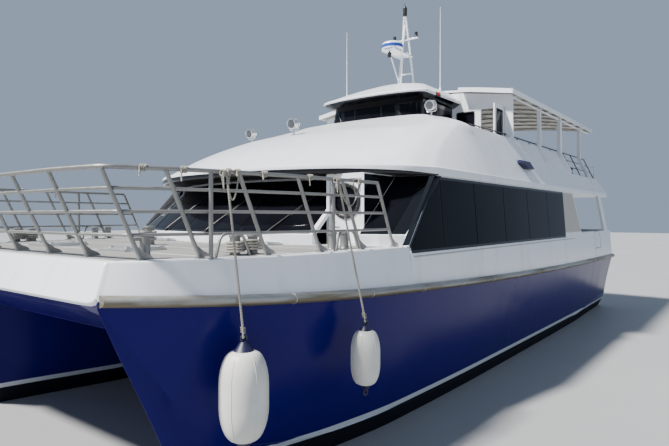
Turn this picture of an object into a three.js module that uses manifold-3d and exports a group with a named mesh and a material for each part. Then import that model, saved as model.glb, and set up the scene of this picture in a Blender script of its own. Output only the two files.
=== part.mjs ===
// A twin-hull passenger ferry, 20 m long, afloat. Millimetres.
// +X points to the bow, +Y to port, +Z up. The origin is on the centreline, amidships, at the waterline.
import * as THREE from 'three';
import { mergeVertices } from 'three/addons/utils/BufferGeometryUtils.js';
import Module from 'manifold-3d';

const wasm = await Module();
wasm.setup();

const GAP = 0.5;                // between pieces that touch
const STERN_X = -10000;
const STEM_X = 10100;
const HULL_Y = 2800;            // middle of each hull
const HULL_HALF = 750;          // half width of each hull at the waterline
const SIDE_Y = 3800;            // half beam of the ferry
const STRAKE_STERN_Z = 1940;
const STRAKE_RISE = 580;        // from the stern to the stem
const STRAKE_R = 95;
const MAIN_DECK_Z = 2300;
const DECK_HALF = 3680;
const FOREDECK_Z = 2920;
const FOREDECK_AFT_X = 5200;
const BULWARK_Z = 2900;
const SCREEN_SILL_Z = 3100;
const LIP_Z = 4150;             // underside of the upper deck
const UPPER_DECK_Z = 4300;
const COAMING_Z = 5480;
const COAMING_AFT_Z = 4820;
const COAMING_THICK = 75;
const WALL = 80;
const GLASS = 14;
const HOUSE_AFT_X = -1200;
const VISOR_Z = 6430;
const RAIL_R = 24;
const RAIL_HEIGHT = 1010;
const RAIL_RAKE = 460;          // how far ahead of its foot a stanchion's head stands
const SHAFT_Z = -860;
const RUDDER_X = -9500;
const TUBE_SIDES = 5;

const BLUE = { color: 0x1b1f86, roughness: 0.25 };
const WHITE = { color: 0xeceef2, roughness: 0.35 };
const GREY = { color: 0x8d9296, roughness: 0.7 };
const ALLOY = { color: 0xa9adb0, roughness: 0.45, metalness: 0.8 };
const TINTED = { color: 0x0b0d12, roughness: 0.08 };
const BLACK = { color: 0x17181b, roughness: 0.5 };
const BRONZE = { color: 0x9c7a45, roughness: 0.4, metalness: 0.8 };
const SEATING = { color: 0x1d2748, roughness: 0.8 };
const VINYL = { color: 0xe6e6de, roughness: 0.5 };

const ferry = new THREE.Group();

// A closed geometry as a solid to cut and join, moved by a matrix if one is given.
function solid(geometry, matrix = new THREE.Matrix4()) {
  const points = new THREE.BufferGeometry();
  const flat = geometry.index ? geometry.toNonIndexed() : geometry;
  points.setAttribute('position', flat.getAttribute('position'));
  const merged = mergeVertices(points, 1e-3).applyMatrix4(matrix);
  const vertProperties = merged.attributes.position.array;
  const triangles = [];
  for (let i = 0; i < merged.index.count; i += 3) {
    const [a, b, c] = merged.index.array.slice(i, i + 3);
    if (a !== b && b !== c && c !== a) triangles.push([a, b, c]);
  }
  const make = (list) => new wasm.Manifold(
    new wasm.Mesh({ numProp: 3, vertProperties, triVerts: new Uint32Array(list.flat()) }));
  const made = make(triangles);
  return made.volume() > 0 ? made : make(triangles.map(([a, b, c]) => [c, b, a]));
}

const join = (...solids) => solids.flat().reduce((whole, piece) => whole.add(piece));
const cut = (whole, ...tools) => tools.flat().reduce((rest, tool) => rest.subtract(tool), whole);
const spaced = (from, step, count) => Array.from({ length: count }, (_, i) => from + step * i);
const BOTH = [1, -1];           // port and starboard

// From a place along an axis and the two coordinates across it to X, Y, Z.
const PLACE = {
  x: (at, a, b) => [at, a, b],
  y: (at, a, b) => [a, at, b],
  z: (at, a, b) => [a, b, at],
};

// A solid skinned over rings of points, with each end closed by its own list of triangles.
function skin(rings, firstCap, lastCap) {
  const count = rings[0].length;
  const last = (rings.length - 1) * count;
  const index = firstCap.flatMap(([i, j, k]) => [k, j, i]);
  for (let ring = 0; ring < last; ring += count)
    for (let i = 0; i < count; i++) {
      const [p, q] = [ring + i, ring + (i + 1) % count];
      index.push(p, q, q + count, p, q + count, p + count);
    }
  index.push(...lastCap.flat().map((i) => last + i));
  const geometry = new THREE.BufferGeometry().setIndex(index);
  geometry.setAttribute('position', new THREE.Float32BufferAttribute(rings.flat(2), 3));
  return solid(geometry);
}

// A solid skinned over outlines placed along an axis. All outlines have the same number of points.
function loft(axis, stations) {
  const flats = stations.map(({ outline }) => outline.map(([a, b]) => new THREE.Vector2(a, b)));
  if (THREE.ShapeUtils.isClockWise(flats[0])) flats.forEach((flat) => flat.reverse());
  const rings = flats.map((flat, i) => flat.map(({ x, y }) => PLACE[axis](stations[i].at, x, y)));
  return skin(rings, ...[flats[0], flats.at(-1)].map((flat) => THREE.ShapeUtils.triangulateShape(flat, [])));
}

const prism = (axis, outline, from, to) => loft(axis, [{ at: from, outline }, { at: to, outline }]);

const box = (x0, x1, y0, y1, z0, z1) =>
  prism('z', [[x0, y0], [x1, y0], [x1, y1], [x0, y1]], z0, z1);

// A round bar between two points.
function rod(from, to, radius, sides = TUBE_SIDES) {
  const start = new THREE.Vector3(...from);
  const run = new THREE.Vector3(...to).sub(start);
  const turn = new THREE.Quaternion().setFromUnitVectors(new THREE.Vector3(0, 1, 0), run.clone().normalize());
  const middle = start.addScaledVector(run, 0.5);
  return solid(new THREE.CylinderGeometry(radius, radius, run.length(), sides),
    new THREE.Matrix4().compose(middle, turn, new THREE.Vector3(1, 1, 1)));
}

// A round bar through a list of points, mitred at each bend. Its first length isn't upright.
function bar(points, radius, sides = TUBE_SIDES) {
  const at = points.map((point) => new THREE.Vector3(...point));
  const runs = at.slice(1).map((point, i) => point.clone().sub(at[i]).normalize());
  const beside = new THREE.Vector3(0, 0, 1).cross(runs[0]).normalize();
  const above = runs[0].clone().cross(beside);
  const turns = spaced(0, 2 * Math.PI / sides, sides);
  const rings = [turns.map((angle) => at[0].clone()
    .addScaledVector(beside, radius * Math.cos(angle)).addScaledVector(above, radius * Math.sin(angle)))];
  runs.forEach((run, i) => {
    const normal = run.clone().add(runs[i + 1] ?? run);
    rings.push(rings.at(-1).map((point) => {
      const reach = at[i + 1].clone().sub(point).dot(normal) / run.dot(normal);
      return point.clone().addScaledVector(run, reach);
    }));
  });
  const fan = spaced(1, 1, sides - 2).map((i) => [0, i, i + 1]);
  return skin(rings.map((ring) => ring.map((point) => point.toArray())), fan, fan);
}

// A shape turned about an upright axis, from its half profile of radius and height.
function turned(x, y, profile, sides) {
  const geometry = new THREE.LatheGeometry(profile.map(([r, z]) => new THREE.Vector2(r, z)), sides);
  return solid(geometry, new THREE.Matrix4().makeTranslation(x, y, 0)
    .multiply(new THREE.Matrix4().makeRotationX(Math.PI / 2)));
}

// An outline seen from the side, made as a sheet that leans with one side of the ferry.
function plate(face, offset, thickness, outline) {
  const outer = [1000, 8000].map((z) => [face(z) + offset, z]);
  const inner = outer.map(([y, z]) => [y - thickness, z]).reverse();
  return prism('x', [...outer, ...inner], -11000, 11000).intersect(prism('y', outline, 1000, 5000));
}

// The whole outline across the ferry from its port half.
const across = (half) => [...half, ...half.filter(([y]) => y !== 0).map(([y, z]) => [-y, z]).reverse()];

function add(name, made, look, mirrored = false) {
  const { vertProperties, triVerts } = made.getMesh();
  const geometry = new THREE.BufferGeometry();
  geometry.setAttribute('position', new THREE.BufferAttribute(vertProperties, 3));
  geometry.setIndex(new THREE.BufferAttribute(triVerts, 1));
  geometry.computeVertexNormals();
  const mesh = new THREE.Mesh(geometry, new THREE.MeshStandardMaterial(look));
  mesh.name = name;
  if (mirrored) mesh.scale.y = -1;
  ferry.add(mesh);
}

function addPair(name, made, look) {
  add(`${name}_port`, made, look);
  add(`${name}_starboard`, made, look, true);
}

// Lines of the hulls: the strake's height, the deck's outer edge, and the hull's inner edge
const sheer = (x) => STRAKE_STERN_Z + STRAKE_RISE * ((x - STERN_X) / (STEM_X - STERN_X)) ** 2.4;
const fine = (x, from, power) =>
  1 - THREE.MathUtils.clamp((x - from) / (STEM_X - from), 0, 1) ** power;
const deckHalf = (x) => HULL_Y + (SIDE_Y - HULL_Y) * fine(x, 5000, 3.4);
const innerHalf = (x) => HULL_HALF * fine(x, 4000, 2.2);
const sideFace = (z) => SIDE_Y - 0.08 * (z - 1900);
const coamingFace = (z) => 3650 - 0.534 * (z - UPPER_DECK_Z);

const STATIONS = [
  // place, keel's height, share of the full width, underside of the deck between the hulls
  [-10000, -380, 0.95, 1350], [-8200, -470, 1, 1350], [-5500, -800, 1, 1350], [-2000, -950, 1, 1350],
  [2000, -1000, 1, 1350], [5200, -1000, 0.92, 1350], [6800, -980, 0.68, 1370], [7700, -900, 0.42, 1450],
  [8400, -650, 0.22, 1620], [8950, 0, 0.1, 1830], [9500, 1180, 0.05, 2120], [9900, 2020, 0.03, 2340],
  [10080, 2430, 0.01, 2450],
].map(([x, keel, share, wet]) => ({ x, keel, share, wet }));
const aft = STATIONS.filter(({ x }) => x <= FOREDECK_AFT_X);
const fore = STATIONS.filter(({ x }) => x >= FOREDECK_AFT_X);
const rect = (half, low, high) => [[-half, low], [half, low], [half, high], [-half, high]];

function hullOutline({ x, keel, share }) {
  const half = HULL_HALF * share;
  const rise = (part) => keel + part * (sheer(x) - keel);
  const side = [[0.07 * half, keel], [0.62 * half, rise(0.12)], [half, rise(0.38)]];
  return [
    ...side, [deckHalf(x) - HULL_Y, sheer(x)], [-innerHalf(x), sheer(x)],
    ...side.map(([out, z]) => [-out, z]).reverse(),
  ].map(([out, z]) => [HULL_Y + out, z]);
}
addPair('hull', cut(
  loft('x', STATIONS.map((station) => ({ at: station.x, outline: hullOutline(station) }))),
  box(-6500, -3500, HULL_Y - 420, HULL_Y + 420, -250, 3000),
  rod([RUDDER_X, HULL_Y, -700], [RUDDER_X, HULL_Y, -150], 45, 12),
), BLUE);
addPair('engine', box(-6100, -4300, HULL_Y - 360, HULL_Y + 360, -249.5, 800), GREY);
addPair('strake', loft('x', STATIONS.map(({ x }) => {
  const [y, z] = [deckHalf(x) + GAP, sheer(x)];
  const [out, up] = [STRAKE_R, STRAKE_R * 0.7];
  return { at: x, outline: [[y, z - out], [y + up, z - up], [y + out, z], [y + up, z + up], [y, z + out]] };
})), ALLOY);

// The deck between the hulls, the main deck over it and the bulwark across the stern
const tunnelHalf = ({ x, share }) => HULL_Y - Math.max(innerHalf(x), HULL_HALF * share) - GAP;
const edge = (x) => (x === FOREDECK_AFT_X ? x - GAP : x);
add('bridge_deck', join(
  loft('x', aft.map((s) => ({ at: edge(s.x), outline: rect(tunnelHalf(s), s.wet, MAIN_DECK_Z - 10) }))),
  loft('x', aft.map(({ x }) => ({ at: edge(x), outline: rect(DECK_HALF, sheer(x) + GAP, MAIN_DECK_Z) }))),
  loft('x', [{ ...fore[0], before: 20 }, ...fore].map((s) => ({
    at: s.x - (s.before ?? 0), outline: rect(tunnelHalf(s), s.wet, sheer(s.x) - GAP),
  }))),
  prism('x', across([[3680, MAIN_DECK_Z - 5], [3632, BULWARK_Z]]), -9990, -9930),
), WHITE);

// The foredeck, with its mooring posts
const foredeckBlock = loft('x', [
  ...fore.filter(({ x }) => x <= 9900).map(({ x }) => ({
    at: x, outline: across([[deckHalf(x), sheer(x) + GAP], [deckHalf(x) - 110, FOREDECK_Z]]),
  })),
  { at: 10080, outline: across([[deckHalf(10080), sheer(10080) + GAP], [2800, 2671]]) },
  { at: 10130, outline: across([[2800, sheer(10130) + GAP], [2790, sheer(10130) + 80]]) },
]);
const post = (x, y, radius, height) => rod([x, y, FOREDECK_Z - 5], [x, y, FOREDECK_Z + height], radius, 12);
const bitts = BOTH.flatMap((side) => [
  post(9450, side * 2700, 60, 320),
  rod([9260, side * 2700, FOREDECK_Z + 230], [9640, side * 2700, FOREDECK_Z + 230], 25, 8),
  box(9350, 9550, side * 2700 - 90, side * 2700 + 90, FOREDECK_Z - 5, FOREDECK_Z + 15),
  ...[[8300, 3100], [6600, 3300]].flatMap(([x, y]) => [
    post(x - 150, side * y, 65, 260), post(x + 150, side * y, 65, 260),
    box(x - 260, x + 260, side * y - 90, side * y + 90, FOREDECK_Z - 5, FOREDECK_Z + 20),
  ]),
]);
add('foredeck', join(foredeckBlock, bitts, post(7600, 0, 90, 330),
  rod([7600, -190, FOREDECK_Z + 240], [7600, 190, FOREDECK_Z + 240], 30, 8)), WHITE);

// The sides of the cabin with their windows, the open sides of the after deck and the boarding gates
const underSheer = loft('x', aft.map(({ x }) => ({
  at: x, outline: [[3000, 1000], [4200, 1000], [4200, sheer(x) + GAP], [3000, sheer(x) + GAP]],
})));
const sideWindow = (x0, x1, top = x1) =>
  prism('y', [[x0, 2880], [x1, 2880], [top, 4020], [x0, 4020]], 3000, 4000);
addPair('side_wall', cut(
  plate(sideFace, 0, WALL, [
    [-9990, 1000], [5199.5, 1000], [5199.5, 2920.5], [5250, 2920.5], [5250, SCREEN_SILL_Z],
    [4090, LIP_Z - GAP], [-8850, LIP_Z - GAP], [-9550, BULWARK_Z], [-9990, BULWARK_Z],
  ]),
  underSheer,
  prism('y', [[-4950, 4300], [-5750, BULWARK_Z], [-9050, BULWARK_Z], [-8350, 4300]], 3000, 4000),
  box(-8300, -7445, 3000, 4000, 2310, 3500),
  [[-3750, -2350], [-2200, -750], [-600, 850], [1000, 2450]].map(([x0, x1]) => sideWindow(x0, x1)),
  sideWindow(2600, 4900, 3950),
), WHITE);
addPair('side_glass', plate(sideFace, GAP + GLASS, GLASS,
  [[5150, 2800], [5230, 2930], [4120, 4130], [-3900, 4130], [-3900, 2800]]), TINTED);
const GATE = [[-8290, 2330], [-8290, 2890], [-7455, 2890], [-7455, 2330]];
addPair('gate', plate(sideFace, -15, 45, GATE), WHITE);

// The raked front of the cabin, curved in plan. Foot at the sill, head under the upper deck's lip.
const SCREEN = [
  [0, 6400, 5200], [1500, 6210, 5010], [2400, 5920, 4740], [3300, 5500, 4330], [3720, 5190, 4030],
].map(([y, foot, head]) => ({ y, foot, head }));
const screenLine = [...SCREEN.slice(1).reverse().map((s) => ({ ...s, y: -s.y })), ...SCREEN];
const screen = (outline) => loft('y', screenLine.map((s) => ({ at: s.y, outline: outline(s) })));
const behindScreen = (ahead) => screen(({ foot, head }) => [
  [foot + ahead, SCREEN_SILL_Z], [head + ahead, LIP_Z - GAP],
  [head - 500, LIP_Z - GAP], [foot - 500, SCREEN_SILL_Z],
]);
const glazing = (y0, y1) => cut(behindScreen(1 + 1.4 * GLASS), behindScreen(1))
  .intersect(box(3000, 8000, y0, y1, 3120, 4100));
const besideCabin = BOTH.map((side) => prism('x', [
  [side * (sideFace(2000) - WALL - GAP), 2000], [side * (sideFace(5000) - WALL - GAP), 5000],
  [side * 6000, 5000], [side * 6000, 2000],
], 3000, 8000));
const DOOR_Y = [2260, 2940];    // the front door's recess
const frontWall = cut(
  screen(({ foot, head }) => [
    [foot, 2920.5], [foot, SCREEN_SILL_Z], [head, LIP_Z - GAP], [head - 80, LIP_Z - GAP],
    [foot - 85, SCREEN_SILL_Z - 20], [foot - 85, 2920.5],
  ]),
  besideCabin,
  [[-3400, -2350], [-2250, -800], [-700, 750], [850, 2150], [3030, 3450]]
    .map(([y0, y1]) => box(3000, 7000, y0, y1, 3160, 4040)),
  box(3000, 7000, ...DOOR_Y, 2935, 4300),
);
add('front_wall', join(
  frontWall,
  box(4600, 5500, DOOR_Y[0] - 60, DOOR_Y[0], 2920.5, LIP_Z - GAP),
  box(4600, 5500, DOOR_Y[1], DOOR_Y[1] + 60, 2920.5, LIP_Z - GAP),
  box(5380, 5500, DOOR_Y[0] - 60, DOOR_Y[1] + 60, 4060, LIP_Z - GAP),
  box(5400, 5500, DOOR_Y[0] - 60, DOOR_Y[1] + 60, 2920.5, 2935),
), WHITE);
add('windscreen', glazing(-3480, DOOR_Y[0] - 70), TINTED);
add('windscreen_side', glazing(DOOR_Y[1] + 70, 3500), TINTED);
add('foredeck_door', cut(
  box(5425, 5465, DOOR_Y[0] + 6, DOOR_Y[1] - 6, 2945, 4050),
  rod([5300, 2600, 3680], [5600, 2600, 3680], 290, 24),
), WHITE);

// The after end of the cabin and its pair of doors
add('aft_wall', cut(
  prism('x', across([[3687, MAIN_DECK_Z + GAP], [3539, LIP_Z - GAP]]), -5010, -4950),
  box(-6000, -4000, -905, 905, 2310, 4060),
  BOTH.map((side) => box(-6000, -4000, side * 2100 - 850, side * 2100 + 850, 3150, 3950)),
), WHITE);
const aftDoor = box(-5000, -4960, 4, 895, 2316, 4052);
addPair('aft_door', cut(aftDoor, box(-6000, -4000, 200, 700, 3100, 3880)), WHITE);

// Plan outlines with a rounded front: share of the half width, share of the set back
const NOSE = [[1, 1], [0.93, 0.67], [0.82, 0.46], [0.68, 0.3], [0.5, 0.15], [0.3, 0.05], [0, 0]];
function nosed(half, front, setBack, back) {
  const port = NOSE.map(([out, behind]) => [front - setBack * behind, half * out]);
  const starboard = port.slice(0, -1).reverse().map(([x, y]) => [x, -y]);
  return [[back, half], ...port, ...starboard, [back, -half]];
}

// The upper deck with the rail across its stern
const sternRail = [-3250, -1950, -650, 650, 1950, 3250];
add('upper_deck', join(
  cut(
    prism('z', nosed(3660, 6150, 2050, -9600), LIP_Z, UPPER_DECK_Z),
    box(-8650, -6650, -1560, -640, 4000, 4500)),
  sternRail.map((y) => rod([-9550, y, UPPER_DECK_Z - 10], [-9550, y, 5300], 22)),
  [4650, 4970, 5300].map((z) => rod([-9550, -3272, z], [-9550, 3272, z], 18)),
), WHITE);

// The rounded white front that climbs from the lip to the wheelhouse, with three floodlights
const BROW = [
  [UPPER_DECK_Z + GAP, 3650, 6080, 2000], [4750, 3410, 5200, 1800], [5200, 3169, 4000, 1550],
  [COAMING_Z, 3020, 2950, 1150], [5700, 2500, 2200, 780], [5850, 1900, 1680, 290],
].map(([z, half, front, setBack]) => ({ z, half, front, setBack }));
const floodlight = (x, y, z) => join(
  rod([x, y, z - 60], [x, y, z + 130], 22, 8),
  rod([x - 110, y, z + 200], [x + 110, y, z + 150], 120, 14),
);
add('forehead', join(
  loft('z', BROW.map(({ z, half, front, setBack }) =>
    ({ at: z, outline: nosed(half, front, setBack, 1350) }))),
  floodlight(3900, 0, 5230), floodlight(3000, -2300, 5330), floodlight(1500, 2150, 5760),
), WHITE);

// The sloping sides of the upper deck, with a scoop on each
addPair('coaming', plate(coamingFace, 0, COAMING_THICK, [
  [1349.5, UPPER_DECK_Z + GAP], [1349.5, COAMING_Z], [-5300, COAMING_Z], [-6000, COAMING_AFT_Z],
  [-9200, COAMING_AFT_Z], [-9590, UPPER_DECK_Z + GAP],
]), WHITE);
addPair('vent', plate(coamingFace, 140 + GAP, 140,
  [[-700, 4760], [-850, 4850], [-1450, 4850], [-1500, 4640], [-950, 4620]]), BLACK);

// The wheelhouse with its helm console, its band of windows and its peaked roof
const shell = (inset, low, high, back) => {
  const ring = (z) => {
    const up = (z - UPPER_DECK_Z) / (VISOR_Z - UPPER_DECK_Z);
    return { at: z, outline: nosed(1450 - 50 * up - inset, 1340 - 520 * up - inset, 300, back) };
  };
  return loft('z', [ring(low), ring(high)]);
};
add('wheelhouse', join(
  cut(
    shell(0, UPPER_DECK_Z + GAP, VISOR_Z, HOUSE_AFT_X + GAP),
    shell(60, 4400, 6500, -2000),
    [[-1230, -450], [-380, 380], [450, 1230]].map(([y0, y1]) => box(300, 2000, y0, y1, 5760, 6340)),
    [[-1100, -350], [-280, 450]].map(([x0, x1]) => box(x0, x1, -2000, 2000, 5760, 6340)),
  ),
  box(350, 750, -900, 900, 4395, 5400),
  prism('y', [[350, 5390], [750, 5390], [750, 5560]], -900, 900),
), WHITE);
add('wheelhouse_glass', cut(
  shell(-GAP - GLASS, 5735, 6365, -1500), shell(-GAP, 5700, 6400, -2000),
  box(-2000, -1150, -2000, 2000, 5000, 7000),
), TINTED);
const ROOF = [
  [VISOR_Z + GAP, 1620, 1170, 380], [6500, 1640, 1190, 380], [6740, 1500, 800, 350], [6940, 1150, 380, 300],
  [7080, 600, 0, 200],
].map(([z, half, front, setBack]) => ({ z, half, front, setBack }));
add('wheelhouse_roof', join(
  loft('z', ROOF.map(({ z, half, front, setBack }) =>
    ({ at: z, outline: nosed(half, front, setBack, -1199) }))),
  rod([150, -1300, 6700], [150, -1300, 8780], 12), rod([-630, 1300, 6700], [-630, 1300, 9140], 12),
), WHITE);

// The canopy over the upper deck, notched round the wheelhouse roof
const crown = (drop) => [[3200, 6690], [1700, 6920], [0, 7040], [-1700, 6920], [-3200, 6690]]
  .map(([y, z]) => [y, z - drop]);
add('canopy', cut(
  prism('x', [...crown(0), ...crown(85).reverse()], -9400, -900),
  box(HOUSE_AFT_X - GAP, 0, -1700, 1700, 6000, 8000),
), WHITE);
const fromCanopyUp = prism('x', [
  ...crown(85 + GAP), [-4000, 6604], [-4000, 8000], [4000, 8000], [4000, 6604],
], -11000, 0);

// The bulkhead behind the wheelhouse with its three doors
add('windbreak', cut(
  prism('x', across([
    [3570, UPPER_DECK_Z + GAP], [2942, COAMING_Z + 1], [2942, COAMING_Z + 5],
    [3120, COAMING_Z + 10], [3080, 7200],
  ]), HOUSE_AFT_X - 60, HOUSE_AFT_X - GAP),
  fromCanopyUp,
  box(-3000, 0, -400, 400, 4410, 6300),
  BOTH.flatMap((side) => [
    box(-3000, 0, side * 1785 - 265, side * 1785 + 265, 5300, 6300),
    box(-3000, 0, side * 2555 - 330, side * 2555 + 330, 4420, 6330),
  ]),
), WHITE);
add('bridge_door_port', cut(
  box(-1190, -550, 2835, 2875, 4430, 6320), box(-1080, -660, 2000, 4000, 5350, 6200),
), WHITE);
add('bridge_door_starboard', cut(
  box(-1230, -1190, -2875, -2235, 4430, 6320), box(-2000, 0, -2765, -2345, 5350, 6200),
), WHITE);
const wheelhouseDoor = box(-1255, -1215, -390, 390, 4420, 6290);
add('wheelhouse_door', cut(wheelhouseDoor, box(-2000, 0, -250, 250, 5350, 6150)), WHITE);

// The canopy's posts, on the outside of the coaming, and the beam under each eave
const CANOPY_POSTS = [[-3500, 80, 5000], [-5600, 200, 4850], [-8000, 80, 4550]]
  .map(([x, width, foot]) => ({ x, width, foot }));
addPair('canopy_frame', join(
  CANOPY_POSTS.map(({ x, width, foot }) => cut(prism('x', [
    [coamingFace(foot) + 1, foot], [coamingFace(foot) + 100, foot],
    [3125, COAMING_Z], [3110, 6800], [3010, 6800],
    [coamingFace(COAMING_Z) + 2, COAMING_Z],
  ], x - width / 2, x + width / 2), fromCanopyUp)),
  rod([-9300, 3060, 6560], [-1300, 3060, 6560], 30),
), WHITE);

// Handrails along the coamings
const RAIL_Y = 2975;
const lowFoot = [3325, COAMING_AFT_Z + GAP];
const onLowPost = (x, part) => [
  x, lowFoot[0] + part * (RAIL_Y - lowFoot[0]), lowFoot[1] + part * (5560 - lowFoot[1]),
];
addPair('upper_rail', join(
  rod([-9160, RAIL_Y, 5560], [-1320, RAIL_Y, 5560], 18),
  spaced(-1900, -1000, 4).map((x) => rod([x, RAIL_Y, COAMING_Z + GAP], [x, RAIL_Y, 5560], 14)),
  spaced(-6250, -950, 4).map((x) => join(
    rod(onLowPost(x, 0.03), onLowPost(x, 1), 14),
    box(x - 30, x + 30, lowFoot[0] - 25, lowFoot[0] + 25, lowFoot[1], lowFoot[1] + 30),
  )),
  [0.33, 0.66].map((part) => rod(onLowPost(-9160, part), onLowPost(-6200, part), 11)),
), BLACK);

// Rows of seats, each row one bent profile on legs, on rails along the deck
function seatRows(rows, deck, y0, y1) {
  const rails = [y0 + 300, y1 - 300];
  return join(
    rows.map((x) => prism('y', [
      [x, deck + 390], [x + 460, deck + 390], [x + 460, deck + 460],
      [x + 70, deck + 460], [x - 40, deck + 960],
      [x - 110, deck + 960],
    ], y0, y1)),
    rows.flatMap((x) => rails.map((y) => box(x + 150, x + 210, y - 25, y + 25, deck + GAP, deck + 400))),
    rails.map((y) => box(rows.at(-1), rows[0] + 400, y - 20, y + 20, deck + GAP, deck + 30)),
  );
}
addPair('cabin_seats', seatRows(spaced(3600, -975, 9), MAIN_DECK_Z, 750, 3250), SEATING);
add('bench_port', seatRows(spaced(-2700, -1000, 7), UPPER_DECK_Z, 500, 2700), SEATING);
add('bench_starboard', seatRows(spaced(-2700, -1000, 4), UPPER_DECK_Z, -2700, -500), SEATING);

// The stairs from the after deck up through the upper deck
const TREADS = 8;
add('stairs', join(
  [[-1500, -1460], [-740, -700]].map(([y0, y1]) => prism('y', [
    [-8640, MAIN_DECK_Z + GAP], [-8340, MAIN_DECK_Z + GAP], [-6760, 4290], [-7060, 4290],
  ], y0, y1)),
  spaced(1, 1, TREADS).map((step) => {
    const part = step / (TREADS + 1);
    const [x, z] = [-8490 + part * 1580, MAIN_DECK_Z + part * 1990];
    return box(x - 120, x + 120, -1470, -730, z - 15, z + 15);
  }),
), ALLOY);

// The rail round the foredeck
const RAIL_FEET = [
  ...[5450, 6350, 7250, 8150, 9000, 9600].map((x) => [x, deckHalf(x) - 260]),
  [9700, 1900], [9700, 950], [9700, 0],
];
const railFeet = [...RAIL_FEET, ...RAIL_FEET.slice(0, -1).reverse().map(([x, y]) => [x, -y])];
const upRail = ([x, y], part) => [x + part * RAIL_RAKE, y, FOREDECK_Z + 14 + part * (RAIL_HEIGHT - 14)];
const footPlate = (x, y) => box(x - 45, x + 45, y - 45, y + 45, FOREDECK_Z + GAP, FOREDECK_Z + 22);
const UPRIGHTS = [[8950, 8150, 9000], [7000, 6350, 7250]];      // place, the feet before and after its rail
add('bow_rail', join(
  [1, 0.78, 0.53, 0.27].map((part) =>
    bar(railFeet.map((foot) => upRail(foot, part)), part === 1 ? RAIL_R : 19)),
  railFeet.map((foot) => join(rod(upRail(foot, 0), upRail(foot, 1), 20), footPlate(...foot))),
  BOTH.flatMap((side) => UPRIGHTS.map(([x, before, after]) => {
    const part = (x - RAIL_RAKE - before) / (after - before);
    const y = side * (THREE.MathUtils.lerp(deckHalf(before), deckHalf(after), part) - 260);
    return join(rod([x, y, FOREDECK_Z + 5], [x, y, FOREDECK_Z + RAIL_HEIGHT], 28, 8), footPlate(x, y));
  })),
), ALLOY);

// The mast on the wheelhouse roof, and the radar on its bracket
const MAST_HEAD = [-950, 0, 9300];
add('mast', join(
  BOTH.map((side) => join(
    rod([-1100, side * 230, 7090], MAST_HEAD, 30),
    box(-1150, -1050, side * 230 - 50, side * 230 + 50, 7080.5, 7105),
  )),
  rod([-560, 0, 7090], [-955, 0, 9000], 30), box(-620, -500, -50, 50, 7080.5, 7105),
  box(-1060, -20, -200, 200, 8080, 8110), rod([-60, 0, 8090], [-590, 0, 7250], 20),
  rod([-950, 0, 9240], [-950, 0, 9560], 60, 10), rod([-950, 0, 9500], [-950, 0, 9660], 12),
  box(-1010, -930, -420, 420, 8560, 8590),
), WHITE);
add('radome', turned(-250, 0,
  [[0, 8110.5], [255, 8110.5], [300, 8150], [300, 8270], [265, 8320], [140, 8348], [0, 8352]], 20), WHITE);

// Two fenders hung over the port side on lines from the foredeck rail
const FENDERS = [
  ['fender_fwd', 8790, 3620, 280, 750, 2000, 3334], ['fender_mid', 6950, 4030, 200, 1050, 1950, 3560],
].map(([name, x, y, radius, low, high, railY]) => ({ name, x, y, radius, low, high, railY }));
for (const { name, x, y, radius, low, high, railY } of FENDERS) {
  const body = turned(x, y, [
    [0, low], [radius * 0.45, low + 10], [radius * 0.85, low + 70], [radius, low + 170], [radius, high - 190],
    [radius * 0.85, high - 90], [radius * 0.35, high - 30], [0, high - 25],
  ], 16);
  add(name, join(body, rod([x, y, high - 60], [x, y, high], 30, 8),
    rod([x, y, high - 20], [x, railY, FOREDECK_Z + RAIL_HEIGHT], 9)), VINYL);
}

// Propellers, shafts and rudders
const propellerBlade = (angle) => {
  const blade = new THREE.Matrix4().makeTranslation(-8700, HULL_Y, SHAFT_Z)
    .multiply(new THREE.Matrix4().makeRotationX(angle))
    .multiply(new THREE.Matrix4().makeTranslation(0, 0, 185))
    .multiply(new THREE.Matrix4().makeRotationZ(0.95));
  return solid(new THREE.BoxGeometry(250, 18, 250), blade);
};
addPair('propeller', join(
  rod([-8820, HULL_Y, SHAFT_Z], [-8580, HULL_Y, SHAFT_Z], 85, 16),
  join(spaced(0, Math.PI / 2, 4).map(propellerBlade))
    .intersect(rod([-8900, HULL_Y, SHAFT_Z], [-8500, HULL_Y, SHAFT_Z], 300, 24)),
), BRONZE);
addPair('shaft', join(
  rod([-8572, HULL_Y, SHAFT_Z], [-5500, HULL_Y, SHAFT_Z], 38, 10),
  rod([-8560, HULL_Y, SHAFT_Z], [-8360, HULL_Y, SHAFT_Z], 70, 12),
  box(-8510, -8410, HULL_Y - 20, HULL_Y + 20, SHAFT_Z, -461),
  prism('y', [[-5900, -758], [-5500, -802], [-5450, SHAFT_Z], [-5500, -920], [-5900, -910]],
    HULL_Y - 60, HULL_Y + 60),
), ALLOY);
addPair('rudder', join(
  prism('y', [[-9780, -1130], [-9330, -1130], [-9280, -520], [-9750, -520]], HULL_Y - 25, HULL_Y + 25),
  rod([RUDDER_X, HULL_Y, -560], [RUDDER_X, HULL_Y, -200], 32, 10),
), ALLOY);

export default ferry;
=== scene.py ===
# %% [markdown]
# # A twin-hull passenger ferry
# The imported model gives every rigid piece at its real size, in metres: +X is the bow, +Y is port, and Z is
# 0 at the waterline. This lesson dresses it. Curved shells are skinned again with many more sections than
# the solids have, tubes become round, glass gets its panes and seams, and every surface gets a painted,
# brushed or glazed finish that is worked out by nodes.

# %% The frame
import math
import random

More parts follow.
